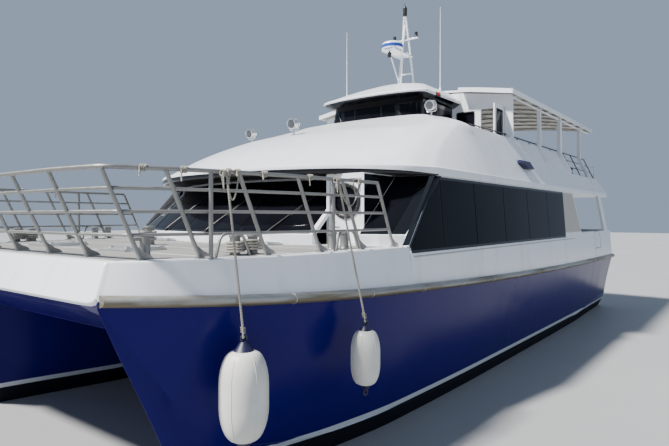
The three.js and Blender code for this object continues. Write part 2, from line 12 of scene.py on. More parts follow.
import bmesh
import bpy
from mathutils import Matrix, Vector


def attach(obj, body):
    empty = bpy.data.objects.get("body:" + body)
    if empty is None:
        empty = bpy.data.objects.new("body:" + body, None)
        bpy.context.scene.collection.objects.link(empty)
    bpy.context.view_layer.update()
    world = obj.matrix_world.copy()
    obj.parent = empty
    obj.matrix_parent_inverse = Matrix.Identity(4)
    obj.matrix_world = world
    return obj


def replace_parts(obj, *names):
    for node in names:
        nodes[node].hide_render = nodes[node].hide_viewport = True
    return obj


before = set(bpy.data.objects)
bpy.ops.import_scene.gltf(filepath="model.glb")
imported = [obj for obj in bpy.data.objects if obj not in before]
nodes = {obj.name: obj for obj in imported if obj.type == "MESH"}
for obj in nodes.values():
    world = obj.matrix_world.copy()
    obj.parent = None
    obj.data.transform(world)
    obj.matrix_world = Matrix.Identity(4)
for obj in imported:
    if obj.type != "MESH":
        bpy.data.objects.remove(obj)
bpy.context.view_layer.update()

# %% [markdown]
# The camera stands where the photograph was taken from: to port, ahead of the bow and 3.4 m above the
# waterline. The place was solved from the strake, the deck edges and the horizon. A lens of 550 pixels'
# focal length on a picture 669 pixels wide is the same as 29.6 mm on a 36 mm sensor.

# %% Camera
IMAGE_WIDTH, IMAGE_HEIGHT = 669, 446
FOCAL_PIXELS = 550
HORIZON_PIXEL = 217
CAMERA_PLACE = Vector((13.09, 8.245, 3.4))
LOOKING_ALONG = Vector((-0.7912, -0.6115, 0))
SENSOR = 36
CLIP_END = 400

camera = bpy.data.objects.new("camera", bpy.data.cameras.new("camera"))
bpy.context.scene.collection.objects.link(camera)
camera.data.sensor_width = SENSOR
camera.data.lens = SENSOR * FOCAL_PIXELS / IMAGE_WIDTH
camera.data.clip_end = CLIP_END
LOOKING_ALONG.z = -(IMAGE_HEIGHT / 2 - HORIZON_PIXEL) / FOCAL_PIXELS
camera.rotation_euler = LOOKING_ALONG.to_track_quat("-Z", "Y").to_euler()
camera.location = CAMERA_PLACE
bpy.context.scene.camera = camera
print("lens", round(camera.data.lens, 1), "mm")

# %% [markdown]
# A studio for a ship is one grey floor at the waterline and three lights. The sun stands high, ahead of the
# bow and a little to starboard, as in the photograph, where the front is bright and the port side is in a
# bluish shade. It is made wide so that its shadows are soft. Two large panels give the gloss paint
# something long to mirror.

# %% Floor and lights
def light(name, kind, place, target, energy, size, color=(1, 1, 1)):
    data = bpy.data.lights.new(name, kind)
    data.energy = energy
    data.color = color
    if kind == "SUN":
        data.angle = size
    else:
        data.shape = "RECTANGLE"
        data.size, data.size_y = size
    lamp = bpy.data.objects.new(name, data)
    bpy.context.scene.collection.objects.link(lamp)
    lamp.location = place
    lamp.rotation_euler = (Vector(target) - Vector(place)).to_track_quat("-Z", "Y").to_euler()
    return lamp


SUN_PLACE, SUN_WIDTH = (17, -10, 27), math.radians(5)
WARM, COOL, COOLER = (1.0, 0.96, 0.90), (0.93, 0.96, 1.0), (0.86, 0.90, 1.0)
SKY_COLOR, SKY_STRENGTH = (0.60, 0.75, 1.0, 1), 0.5
light("high_sun", "SUN", SUN_PLACE, target=(0, 0, 0), energy=11.0, size=SUN_WIDTH, color=WARM)
light("bow_panel", "AREA", (30, 2, 10), target=(6, 0, 3), energy=450, size=(14, 9), color=COOL)
light("port_panel", "AREA", (-4, 30, 12), target=(-2, 0, 3), energy=700, size=(30, 8), color=COOLER)

world = bpy.data.worlds.new("pale_sky")
bpy.context.scene.world = world
world.use_nodes = True
sky = world.node_tree.nodes["Background"]
sky.inputs["Color"].default_value = SKY_COLOR
sky.inputs["Strength"].default_value = SKY_STRENGTH
print("lights", len(bpy.data.lights), "and a sky of strength", SKY_STRENGTH)

# %% [markdown]
# A material is a Principled shader with things fed into its colour, roughness and normal. What several
# materials share, such as streaks of dirt below the decks, fine orange peel in the paint, or brushing in the
# metal, is a node group with named inputs, built once here.

# %% Node groups
def node_group(name, inputs, outputs):
    """An empty shader group with float or colour sockets: the group, its input node and its output node."""
    group = bpy.data.node_groups.new(name, "ShaderNodeTree")
    for label, default in inputs.items():
        kind = "NodeSocketColor" if isinstance(default, tuple) else "NodeSocketFloat"
        group.interface.new_socket(label, in_out="INPUT", socket_type=kind).default_value = default
    for label, kind in outputs.items():
        group.interface.new_socket(label, in_out="OUTPUT", socket_type=kind)
    return group, group.nodes.new("NodeGroupInput"), group.nodes.new("NodeGroupOutput")


def math_node(tree, operation, *values, clamp=False):
    """One Math node. A value is a number or a socket to link."""
    node = tree.nodes.new("ShaderNodeMath")
    node.operation = operation
    node.use_clamp = clamp
    for socket, value in zip(node.inputs, values):
        if isinstance(value, (int, float)):
            socket.default_value = value
        else:
            tree.links.new(value, socket)
    return node.outputs[0]


def noise(tree, vector, scale, detail=4, stretch=(1, 1, 1)):
    """Noise over the object's own metres, stretched along the axes."""
    mapping = tree.nodes.new("ShaderNodeMapping")
    mapping.inputs["Scale"].default_value = stretch
    tree.links.new(vector, mapping.inputs["Vector"])
    node = tree.nodes.new("ShaderNodeTexNoise")
    node.inputs["Detail"].default_value = detail
    tree.links.new(mapping.outputs[0], node.inputs["Vector"])
    if isinstance(scale, (int, float)):
        node.inputs["Scale"].default_value = scale
    else:
        tree.links.new(scale, node.inputs["Scale"])
    return node.outputs[0]


def mix_color(tree, factor, first, second):
    node = tree.nodes.new("ShaderNodeMix")
    node.data_type = "RGBA"
    for socket, value in ((node.inputs[0], factor), (node.inputs[6], first), (node.inputs[7], second)):
        if isinstance(value, (int, float, tuple)):
            socket.default_value = value
        else:
            tree.links.new(value, socket)
    return node.outputs[2]


def object_place(tree):
    return tree.nodes.new("ShaderNodeTexCoord").outputs["Object"]


def make_streaks():
    """Rain streaks and salt: a mask that runs down the surface, broken up by a wider cloud."""
    group, given, result = node_group(
        "rain_streaks", {"Scale": 3.0, "Amount": 0.3}, {"Mask": "NodeSocketFloat"})
    place = object_place(group)
    fine = noise(group, place, given.outputs["Scale"], 6, (1, 1, 0.06))
    cloud = noise(group, place, 0.7, 3)
    streak = math_node(group, "MULTIPLY", math_node(group, "SUBTRACT", fine, 0.5, clamp=True), 3.0)
    broken = math_node(group, "MULTIPLY", streak, cloud)
    mask = math_node(group, "MULTIPLY", broken, given.outputs["Amount"], clamp=True)
    group.links.new(mask, result.inputs["Mask"])
    return group


def make_peel():
    """The faint unevenness of sprayed paint and of plate pulled in between its frames."""
    group, given, result = node_group(
        "plate_and_peel", {"Peel": 40.0, "Ripple": 0.5}, {"Height": "NodeSocketFloat"})
    place = object_place(group)
    peel = math_node(group, "MULTIPLY", noise(group, place, given.outputs["Peel"], 2), 0.12)
    ripple = math_node(group, "MULTIPLY", noise(group, place, 1.6, 1, (1, 1, 0.5)), given.outputs["Ripple"])
    group.links.new(math_node(group, "ADD", peel, ripple), result.inputs["Height"])
    return group


def make_brushing():
    """Brushed and weathered metal: long fine lines for the bump, and blotches for the roughness."""
    group, given, result = node_group(
        "brushing", {"Lines": 60.0, "Dullness": 0.4},
        {"Height": "NodeSocketFloat", "Roughness": "NodeSocketFloat"})
    place = object_place(group)
    group.links.new(noise(group, place, given.outputs["Lines"], 3, (0.08, 1, 1)), result.inputs["Height"])
    blotch = noise(group, place, 6, 5)
    spread = math_node(group, "MULTIPLY", math_node(group, "SUBTRACT", blotch, 0.5), 0.35)
    dullness = math_node(group, "ADD", spread, given.outputs["Dullness"], clamp=True)
    group.links.new(dullness, result.inputs["Roughness"])
    return group


STREAKS, PEEL, BRUSHING = make_streaks(), make_peel(), make_brushing()


def place_group(tree, group, **values):
    node = tree.nodes.new("ShaderNodeGroup")
    node.node_tree = group
    for label, value in values.items():
        node.inputs[label].default_value = value
    return node.outputs


def plain(name, color, roughness, metallic=0.0, **sockets):
    """A Principled material. Gives the material, its node tree and its shader."""
    material = bpy.data.materials.new(name)
    material.use_nodes = True
    tree = material.node_tree
    shader = tree.nodes["Principled BSDF"]
    shader.inputs["Base Color"].default_value = (*color, 1)
    shader.inputs["Roughness"].default_value = roughness
    shader.inputs["Metallic"].default_value = metallic
    for label, value in sockets.items():
        shader.inputs[label.replace("_", " ")].default_value = value
    return material, tree, shader


def bump(tree, shader, height, strength, distance=0.01):
    node = tree.nodes.new("ShaderNodeBump")
    node.inputs["Strength"].default_value = strength
    node.inputs["Distance"].default_value = distance
    tree.links.new(height, node.inputs["Height"])
    tree.links.new(node.outputs["Normal"], shader.inputs["Normal"])


print("node groups", [group.name for group in (STREAKS, PEEL, BRUSHING)])

# %% [markdown]
# The paints. The topsides are a gloss white with a cool cast, dulled in faint vertical streaks. The hulls
# are a deep royal blue that turns to black antifouling a little above the waterline, with a thin pale
# stripe between: three colours that depend only on height, so they are one material with steps in Z.

# %% Paints
def height_step(tree, level, softness=0.004, axis="Z"):
    """0 below a level and 1 above it, from the surface's own height or its place along another axis."""
    separate = tree.nodes.new("ShaderNodeSeparateXYZ")
    tree.links.new(object_place(tree), separate.inputs[0])
    ramp = tree.nodes.new("ShaderNodeMapRange")
    ramp.inputs["From Min"].default_value = level - softness
    ramp.inputs["From Max"].default_value = level + softness
    tree.links.new(separate.outputs[axis], ramp.inputs["Value"])
    return ramp.outputs[0]


def gloss_paint(name, color, dirt, amount=0.5, roughness=0.28, ripple=0.5):
    material, tree, shader = plain(name, color, roughness, Coat_Weight=0.4, Coat_Roughness=0.12)
    mask = place_group(tree, STREAKS, Scale=2.6, Amount=amount)["Mask"]
    tree.links.new(mix_color(tree, mask, (*color, 1), (*dirt, 1)), shader.inputs["Base Color"])
    tree.links.new(
        math_node(tree, "ADD", math_node(tree, "MULTIPLY", mask, 0.5), roughness, clamp=True),
        shader.inputs["Roughness"])
    bump(tree, shader, place_group(tree, PEEL, Peel=45.0, Ripple=ripple)["Height"], 0.12, 0.02)
    return material


def hull_paint():
    blue, pale, black = (0.007, 0.003, 0.11), (0.55, 0.58, 0.62), (0.006, 0.007, 0.012)
    stripe_low, stripe_high = 0.27, 0.35
    material, tree, shader = plain("hull_paint", blue, 0.2, IOR=1.2)
    mask = place_group(tree, STREAKS, Scale=1.8, Amount=0.3)["Mask"]
    dusty = mix_color(tree, mask, (*blue, 1), (0.015, 0.012, 0.14, 1))
    above = mix_color(tree, height_step(tree, stripe_high), (*pale, 1), dusty)
    tree.links.new(mix_color(tree, height_step(tree, stripe_low), (*black, 1), above),
                   shader.inputs["Base Color"])
    dull = math_node(tree, "MULTIPLY", math_node(tree, "SUBTRACT", 1.0, height_step(tree, stripe_low)), 0.45)
    tree.links.new(
        math_node(tree, "ADD", dull, math_node(tree, "ADD", math_node(tree, "MULTIPLY", mask, 0.4), 0.2)),
        shader.inputs["Roughness"])
    bump(tree, shader, place_group(tree, PEEL, Peel=30.0, Ripple=1.2)["Height"], 0.16, 0.03)
    return material


WHITE = gloss_paint("white_gloss_paint", (0.80, 0.83, 0.88), (0.42, 0.40, 0.36), 0.55)
HULL = hull_paint()
WARM_GREY = gloss_paint("warm_grey_paint", (0.42, 0.39, 0.34), (0.2, 0.18, 0.15), 0.6, 0.45)
CANOPY_LINING = gloss_paint("canopy_lining", (0.52, 0.48, 0.40), (0.34, 0.31, 0.25), 0.5, 0.5, 0.2)


def bridge_paint():
    """The deck between the hulls: blue underneath and at the bow, and pale from the deck up further aft."""
    material, tree, shader = plain("bridge_deck_paint", (0.5, 0.5, 0.5), 0.4)
    mask = place_group(tree, STREAKS, Scale=2.2, Amount=0.4)["Mask"]
    below = mix_color(tree, mask, (0.010, 0.008, 0.12, 1), (0.05, 0.05, 0.16, 1))
    above = mix_color(tree, mask, (0.62, 0.65, 0.67, 1), (0.4, 0.4, 0.38, 1))
    deck_level, bow_starts = 1.9, 7.0
    behind_bow = math_node(tree, "SUBTRACT", 1.0, height_step(tree, bow_starts, axis="X"))
    pale_part = math_node(tree, "MULTIPLY", height_step(tree, deck_level), behind_bow)
    tree.links.new(mix_color(tree, pale_part, below, above), shader.inputs["Base Color"])
    bump(tree, shader, place_group(tree, PEEL, Peel=45.0, Ripple=0.6)["Height"], 0.12, 0.02)
    return material


BRIDGE = bridge_paint()


def non_slip(name, color):
    """Deck paint with grit in it: a fine hard bump, worn paler in patches."""
    material, tree, shader = plain(name, color, 0.75)
    place = object_place(tree)
    patches = math_node(tree, "SUBTRACT", noise(tree, place, 1.2, 6), 0.45, clamp=True)
    worn = math_node(tree, "MULTIPLY", patches, 2.2)
    paler = tuple(min(1, c * 1.35) for c in color)
    tree.links.new(mix_color(tree, worn, (*color, 1), (*paler, 1)), shader.inputs["Base Color"])
    bump(tree, shader, noise(tree, place, 260, 2), 0.5, 0.002)
    return material


DECK = non_slip("deck_grit", (0.20, 0.20, 0.195))
TREAD = non_slip("tread_grit", (0.10, 0.10, 0.11))
print("paints", len(bpy.data.materials))

# %% [markdown]
# Bare metal, glass, rubber and moulded plastic. The windows look nearly black from outside, so the glass is
# a dark dielectric with a polished surface, and a slow waviness that bends what it mirrors, as toughened
# panes do.

# %% Metal, glass, rubber and plastic
def brushed(name, color, dullness, lines=60.0):
    material, tree, shader = plain(name, color, dullness, 0.9)
    marks = place_group(tree, BRUSHING, Lines=lines, Dullness=dullness)
    tree.links.new(marks["Roughness"], shader.inputs["Roughness"])
    grime = place_group(tree, STREAKS, Scale=5.0, Amount=0.5)["Mask"]
    dark = tuple(c * 0.55 for c in color)
    tree.links.new(mix_color(tree, grime, (*color, 1), (*dark, 1)), shader.inputs["Base Color"])
    bump(tree, shader, marks["Height"], 0.15, 0.002)
    return material


def dark_glass():
    material, tree, shader = plain("dark_glass", (0.003, 0.003, 0.004), 0.04, IOR=1.17)
    place = object_place(tree)
    depth = noise(tree, place, 0.8, 2)
    tree.links.new(
        mix_color(tree, depth, (0.001, 0.001, 0.002, 1), (0.008, 0.009, 0.013, 1)),
        shader.inputs["Base Color"])
    bump(tree, shader, noise(tree, place, 1.5, 1), 0.05, 0.02)
    return material


def grained(name, color, roughness, grain=120.0, depth=0.25, metallic=0.0, spread=0.12):
    """Rubber or moulded plastic: a pebbled skin, with a little cloudiness in its colour."""
    material, tree, shader = plain(name, color, roughness, metallic)
    place = object_place(tree)
    cloud = noise(tree, place, 3.0, 5)
    darker = tuple(c * (1 - 2 * spread) for c in color)
    tree.links.new(mix_color(tree, cloud, (*color, 1), (*darker, 1)), shader.inputs["Base Color"])
    bump(tree, shader, noise(tree, place, grain, 3), depth, 0.002)
    return material


ALLOY = brushed("bare_alloy", (0.52, 0.53, 0.53), 0.42)
RAIL_ALLOY = brushed("rail_alloy", (0.27, 0.27, 0.26), 0.5, 90.0)


def worn_alloy_with_painted_shade():
    """The strake's metal: brushed along its length, brown with dirt in patches, and painted darker brown on its
    downward faces as shade.
    """
    material, tree, shader = plain("strake_alloy", (0.42, 0.42, 0.4), 0.45, 0.85)
    marks = place_group(tree, BRUSHING, Lines=45.0, Dullness=0.45)
    place = object_place(tree)
    patches = noise(tree, place, 2.2, 7, (0.35, 1, 4))
    patches = math_node(tree, "SUBTRACT", patches, 0.42, clamp=True)
    dirt = math_node(tree, "MULTIPLY", patches, 3.4, clamp=True)
    separate = tree.nodes.new("ShaderNodeSeparateXYZ")
    tree.links.new(tree.nodes.new("ShaderNodeNewGeometry").outputs["Normal"], separate.inputs[0])
    # faces that point down get darker brown: painted shade under the strake, added to the dirt patches
    under = math_node(tree, "SUBTRACT", 0.3, separate.outputs["Z"], clamp=True)
    dirt = math_node(tree, "ADD", dirt, under, clamp=True)
    tree.links.new(mix_color(tree, dirt, (0.42, 0.42, 0.4, 1), (0.14, 0.12, 0.08, 1)),
                   shader.inputs["Base Color"])
    tree.links.new(math_node(tree, "SUBTRACT", 0.9, math_node(tree, "MULTIPLY", dirt, 0.6)),
                   shader.inputs["Metallic"])
    tree.links.new(marks["Roughness"], shader.inputs["Roughness"])
    scars = noise(tree, place, 14, 3, (0.25, 1, 1))
    height = math_node(tree, "ADD", marks["Height"], math_node(tree, "MULTIPLY", scars, 2.0))
    bump(tree, shader, height, 0.3, 0.004)
    return material


STRAKE_ALLOY = worn_alloy_with_painted_shade()
STAINLESS = brushed("polished_steel", (0.72, 0.73, 0.74), 0.2, 90.0)
BRONZE = brushed("cast_bronze", (0.45, 0.30, 0.12), 0.38, 20.0)
GLASS = dark_glass()
RUBBER = grained("black_rubber", (0.012, 0.012, 0.013), 0.6)
FRIT = grained("black_border", (0.004, 0.004, 0.006), 0.12, 200.0, 0.03)
BLACK = grained("black_plastic", (0.018, 0.018, 0.020), 0.38, 200.0, 0.15)
SEAT_SHELL = grained("blue_seat_shell", (0.020, 0.045, 0.16), 0.42, 220.0, 0.2)
ENGINE_PAINT = grained("engine_paint", (0.16, 0.18, 0.19), 0.5, 60.0, 0.3)
VINYL = grained("fender_vinyl", (0.72, 0.72, 0.68), 0.42, 40.0, 0.12, spread=0.14)
BLUE_VINYL = grained("fender_end", (0.008, 0.008, 0.045), 0.45, 60.0, 0.15)


def rope_material(name, color, pitch):
    """Three-strand rope: slanting bands of bump round the line, with fibres over them."""
    material, tree, shader = plain(name, color, 0.85)
    place = object_place(tree)
    wave = tree.nodes.new("ShaderNodeTexWave")
    wave.bands_direction = "DIAGONAL"
    wave.inputs["Scale"].default_value = pitch
    wave.inputs["Distortion"].default_value = 1.5
    tree.links.new(place, wave.inputs["Vector"])
    fibres = math_node(tree, "MULTIPLY", noise(tree, place, 400, 2), 0.4)
    height = math_node(tree, "ADD", wave.outputs["Fac"], fibres)
    dark = tuple(c * 0.55 for c in color)
    tree.links.new(mix_color(tree, wave.outputs["Fac"], (*dark, 1), (*color, 1)), shader.inputs["Base Color"])
    bump(tree, shader, height, 0.7, 0.003)
    return material


ROPE = rope_material("grey_rope", (0.36, 0.34, 0.30), 22.0)
LENS = grained("lamp_lens", (0.06, 0.07, 0.08), 0.06, 30.0, 0.1)
RED_LENS = grained("red_lens", (0.55, 0.01, 0.01), 0.12, 30.0, 0.15)
GREEN_LENS = grained("green_lens", (0.01, 0.32, 0.08), 0.12, 30.0, 0.15)
BLUE_BAND = grained("blue_band", (0.02, 0.07, 0.42), 0.3, 40.0, 0.1)
print("materials", len(bpy.data.materials))

# %% [markdown]
# Three ways to make a mesh serve nearly every piece. A shell is skinned over outlines that each have the
# same number of points. A tube follows a path with round joints. A box gets its edges bevelled, because a
# real edge always catches a line of light. Each helper adds to one bmesh, so a rail of forty tubes is a
# single piece.

# %% Mesh helpers
def finish_mesh(name, mesh_data, material, body, crease=math.radians(32)):
    """Turns a bmesh into a piece that rides on a body, shaded smooth except over sharp edges."""
    bmesh.ops.recalc_face_normals(mesh_data, faces=mesh_data.faces)
    mesh = bpy.data.meshes.new(name)
    mesh_data.to_mesh(mesh)
    mesh_data.free()
    for face in mesh.polygons:
        face.use_smooth = True
    mesh.set_sharp_from_angle(angle=crease)
    piece = bpy.data.objects.new(name, mesh)
    bpy.context.scene.collection.objects.link(piece)
    for entry in material if isinstance(material, (list, tuple)) else [material]:
        mesh.materials.append(entry)
    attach(piece, body)
    return piece


def skin(mesh_data, outlines, close_ends=True, material_index=0):
    """Faces between one closed outline and the next."""
    rings = [[mesh_data.verts.new(point) for point in outline] for outline in outlines]
    for first, second in zip(rings, rings[1:]):
        for index in range(len(first)):
            after = (index + 1) % len(first)
            face = mesh_data.faces.new((first[index], first[after], second[after], second[index]))
            face.material_index = material_index
    if close_ends:
        for ring in (rings[0], rings[-1]):
            mesh_data.faces.new(ring).material_index = material_index


def lathe(mesh_data, start, along, profile, sides=24, material_index=0):
    """A turned body: (distance, radius) pairs along a line from start."""
    along = Vector(along).normalized()
    side = along.orthogonal().normalized()
    up = along.cross(side)
    outlines = []
    for distance, radius in profile:
        center = Vector(start) + along * distance
        outlines.append([center + radius * (math.cos(t) * side + math.sin(t) * up) for t in angles(sides)])
    skin(mesh_data, outlines, True, material_index)


def tube(mesh_data, path, radius, sides=12, material_index=0):
    """A round bar along a path. The section is carried along the path, so it never twists."""
    points = [Vector(point) for point in path]
    last = len(points) - 1
    side = (points[1] - points[0]).orthogonal().normalized()
    outlines = []
    for index, point in enumerate(points):
        before = (point - points[index - 1]).normalized() if index else None
        after = (points[index + 1] - point).normalized() if index < last else None
        along = (before or after) + (after or before)
        along.normalize()
        side = (side - along * side.dot(along)).normalized()
        up = along.cross(side)
        stretch = 1.0 if before is None or after is None else 1 / max(0.5, along.dot(after))
        outlines.append(
            [point + radius * (math.cos(t) * side + stretch * math.sin(t) * up) for t in angles(sides)])
    skin(mesh_data, outlines, True, material_index)


def rounded_path(path, radius, steps=6):
    """A path with each corner replaced by a small curve that starts a radius before it."""
    points = [Vector(point) for point in path]
    rounded = [points[0]]
    for before, corner, after in zip(points, points[1:], points[2:]):
        reach = min(radius, (corner - before).length * 0.45, (after - corner).length * 0.45)
        start = corner + (before - corner).normalized() * reach
        end = corner + (after - corner).normalized() * reach
        for step in range(steps + 1):
            part = step / steps
            rounded.append(start.lerp(corner, part).lerp(corner.lerp(end, part), part))
    return rounded + [points[-1]]


def block(mesh_data, low, high, bevel=0.0):
    """A box between two corners, with its edges rounded."""
    low, high = Vector(low), Vector(high)
    made = bmesh.ops.create_cube(mesh_data, size=1)["verts"]
    size, middle = high - low, (high + low) / 2
    for vert in made:
        vert.co = Vector(vert.co[axis] * size[axis] for axis in range(3)) + middle
    edges = list({edge for vert in made for edge in vert.link_edges})
    if bevel:
        width = min(bevel, min(size) * 0.45)
        bmesh.ops.bevel(
            mesh_data, geom=edges, offset=width, segments=2, profile=0.5, affect="EDGES", material=-1)


def plate(mesh_data, outline, thickness):
    """A flat or curved sheet: an outline and the same outline moved by a thickness."""
    outline = [Vector(point) for point in outline]
    skin(mesh_data, [outline, [point + Vector(thickness) for point in outline]])


def mix(a, b, part):
    return a + (b - a) * part


def steps(start, end, count):
    return [mix(start, end, index / (count - 1)) for index in range(count)]


def angles(count, start=0.0):
    """Directions at even steps round a circle, from a start given in steps."""
    return [2 * math.pi * (index + start) / count for index in range(count)]


def degrees(*values):
    return [math.radians(value) for value in values]


UP = (0, 0, 1)
SIDES = {"port": 1, "starboard": -1}
print("sides", SIDES)

# %% [markdown]
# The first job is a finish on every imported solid. Those that keep their own mesh, such as the flat walls, the
# deck slabs and the doors, only need this and a small bevel modifier to soften their edges.

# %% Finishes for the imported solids
FINISH = {  # the solids that aren't white
    "bridge_deck": BRIDGE, "windscreen": GLASS, "windscreen_side": GLASS, "wheelhouse_glass": GLASS,
    "bench_port": SEAT_SHELL, "bench_starboard": SEAT_SHELL, "stairs": ALLOY, "bow_rail": RAIL_ALLOY,
    "fender_fwd": VINYL, "fender_mid": VINYL,
}
SIDE_FINISH = {
    "hull": HULL, "engine": ENGINE_PAINT, "strake": ALLOY, "side_glass": GLASS, "vent": BLACK,
    "upper_rail": BLACK, "cabin_seats": SEAT_SHELL, "propeller": BRONZE, "shaft": STAINLESS, "rudder": HULL,
}
for part, finish in SIDE_FINISH.items():
    for side in SIDES:
        FINISH[f"{part}_{side}"] = finish
for label, node in nodes.items():
    node.data.materials.clear()
    node.data.materials.append(FINISH.get(label, WHITE))

SOFT_EDGES = ["front_wall", "aft_wall", "windbreak", "foredeck_door", "bridge_door_port",
              "bridge_door_starboard",
              "wheelhouse_door", "wheelhouse", "stairs"]
SOFT_EDGES += [f"{part}_{side}" for part in ("side_wall", "gate", "aft_door", "coaming",
                                             "rudder") for side in SIDES]
SOFT_WIDTH, SOFT_ANGLE = 0.006, math.radians(35)
for label in SOFT_EDGES:
    soften = nodes[label].modifiers.new("soft_edges", "BEVEL")
    soften.width = SOFT_WIDTH
    soften.segments = 2
    soften.limit_method = "ANGLE"
    soften.angle_limit = SOFT_ANGLE
    soften.harden_normals = True
print("dressed", len(nodes), "solids")

# %% [markdown]
# Ship builders describe a hull by lines: a curve for the keel, one for the strake and one for the deck's
# edge, all against the distance along the ship. The solids join a few stations with straight facets. Here
# the same stations are joined by curves that pass through each of them and never swing beyond them.

# %% The ship's lines
STERN, STEM = -10.0, 10.1
HULL_Y, HULL_HALF, BEAM_HALF = 2.8, 0.75, 3.8
STATIONS = [  # x, keel height, share of the full width, underside of the bridge deck
    (-10.0, -0.38, 0.95, 1.35), (-8.2, -0.47, 1, 1.35), (-5.5, -0.8, 1, 1.35), (-2.0, -0.95, 1, 1.35),
    (2.0, -1.0, 1, 1.35), (5.2, -1.0, 0.92, 1.35), (6.8, -0.98, 0.68, 1.37), (7.7, -0.9, 0.42, 1.45),
    (8.4, -0.65, 0.22, 1.62), (8.95, 0, 0.1, 1.83), (9.5, 1.18, 0.05, 2.12), (9.9, 2.02, 0.03, 2.34),
    (10.08, 2.43, 0.01, 2.45),
]
LAST_X = STATIONS[-1][0]
SHEER_AFT, SHEER_RISE, SHEER_POWER = 1.94, 0.58, 2.4
BILGE_TOP = 0.38  # the chine's height, as a part of the way from the keel to the sheer
KEEL_FLAT, BILGE_FULL, BILGE_LIFT, HOLLOW = 0.07, 0.72, 0.06, 0.03


def curve_through(table, column):
    """A smooth function through a table's points that stays between neighbours (limited slopes)."""
    places = [row[0] for row in table]
    values = [row[column] for row in table]
    gaps = [b - a for a, b in zip(places, places[1:])]
    rates = [(b - a) / gap for a, b, gap in zip(values, values[1:], gaps)]
    slopes = [rates[0]]
    for before, after in zip(rates, rates[1:]):
        slopes.append(0.0 if before * after <= 0 else 2 * before * after / (before + after))
    slopes.append(rates[-1])

    def value(x):
        index = max(0, min(len(gaps) - 1, sum(1 for place in places if place <= x) - 1))
        gap = gaps[index]
        part = max(0.0, min(1.0, (x - places[index]) / gap))
        rest = 1 - part
        return (values[index] * (1 + 2 * part) * rest ** 2 + values[index + 1] * part ** 2 * (3 - 2 * part)
                + slopes[index] * gap * part * rest ** 2 - slopes[index + 1] * gap * part ** 2 * rest)
    return value


keel, share = curve_through(STATIONS, 1), curve_through(STATIONS, 2)


def sheer(x):
    return SHEER_AFT + SHEER_RISE * max(0.0, (x - STERN) / (STEM - STERN)) ** SHEER_POWER


def fine(x, start, power):
    return 1 - max(0.0, min(1.0, (x - start) / (STEM - start))) ** power


def deck_half(x):
    return HULL_Y + (BEAM_HALF - HULL_Y) * fine(x, start=5.0, power=3.4)


def inner_half(x):
    return HULL_HALF * fine(x, start=4.0, power=2.2)


def hull_section(x, side):
    """One closed section of a hull: keel, rounded bilge, chine, flared side and the flat top."""
    half, low, high = HULL_HALF * share(x), keel(x), sheer(x)

    def rise(part):
        return low + part * (high - low)
    bilge = []
    for index in range(7):
        part = index / 6
        width = (1 - part) ** 2 * KEEL_FLAT + 2 * part * (1 - part) * BILGE_FULL + part ** 2
        bilge.append((half * width, rise(2 * part * (1 - part) * BILGE_LIFT + part ** 2 * BILGE_TOP)))
    outer_top, inner_top = max(0.01, deck_half(x) - HULL_Y), max(0.005, inner_half(x))
    flare = [(mix(half, outer_top, p) - HOLLOW * half * math.sin(math.pi * p), rise(mix(BILGE_TOP, 1, p)))
             for p in (0.02, 0.2, 0.4, 0.6, 0.8, 1.0)]
    inside = [(mix(half, inner_top, p), rise(mix(BILGE_TOP, 1, p))) for p in (0.02, 0.35, 0.7, 1.0)]
    outline = bilge + flare + [(-w, z) for w, z in reversed(inside)] + [(-w, z) for w, z in reversed(bilge)]
    return [Vector((x, side * (HULL_Y + w), z)) for w, z in outline]


print("the sheer rises from", round(sheer(STERN), 2), "to", round(sheer(STEM), 2), "m")

# %% [markdown]
# A hull is skinned over seventy sections, closer together where the bow fines away. A spray rail runs along
# its outer chine, and its transom shows two exhaust outlets with flanges.

# %% Hulls
HULL_X = steps(STERN, 5.2, 26) + steps(5.4, 8.8, 24) + steps(8.9, LAST_X, 20)
OUTLET_Z = 0.82
OUTLET_PROFILE = [(0, 0.16), (0.02, 0.16), (0.022, 0.105), (0.1, 0.105), (0.1, 0.09), (0.03, 0.088)]
for side_name, side in SIDES.items():
    shell = bmesh.new()
    skin(shell, [hull_section(x, side) for x in HULL_X])
    rail_path = []
    for x in steps(-9.9, 8.3, 60):
        half, low, high = HULL_HALF * share(x), keel(x), sheer(x)
        rail_path.append((x, side * (HULL_Y + half * 0.99 + 0.012), low + 0.385 * (high - low)))
    tube(shell, rail_path, 0.022, 8)
    hull = finish_mesh(f"hull_shell_{side_name}", shell, HULL, "ship", math.radians(28))
    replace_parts(hull, f"hull_{side_name}")

    outlets = bmesh.new()
    for offset in (-0.36, 0.36):
        place = (STERN + 0.02, side * HULL_Y + offset, OUTLET_Z)
        lathe(outlets, place, (-1, 0, 0), OUTLET_PROFILE, 28)
    finish_mesh(f"exhaust_outlets_{side_name}", outlets, STAINLESS, "ship")
print("hull sections", len(HULL_X))

# %% [markdown]
# The strake is a half-round aluminium fender welded along the widest line. Years of coming alongside have
# left it dented, so its radius wanders a few millimetres, with a fixed random seed that gives the same
# dents every time.

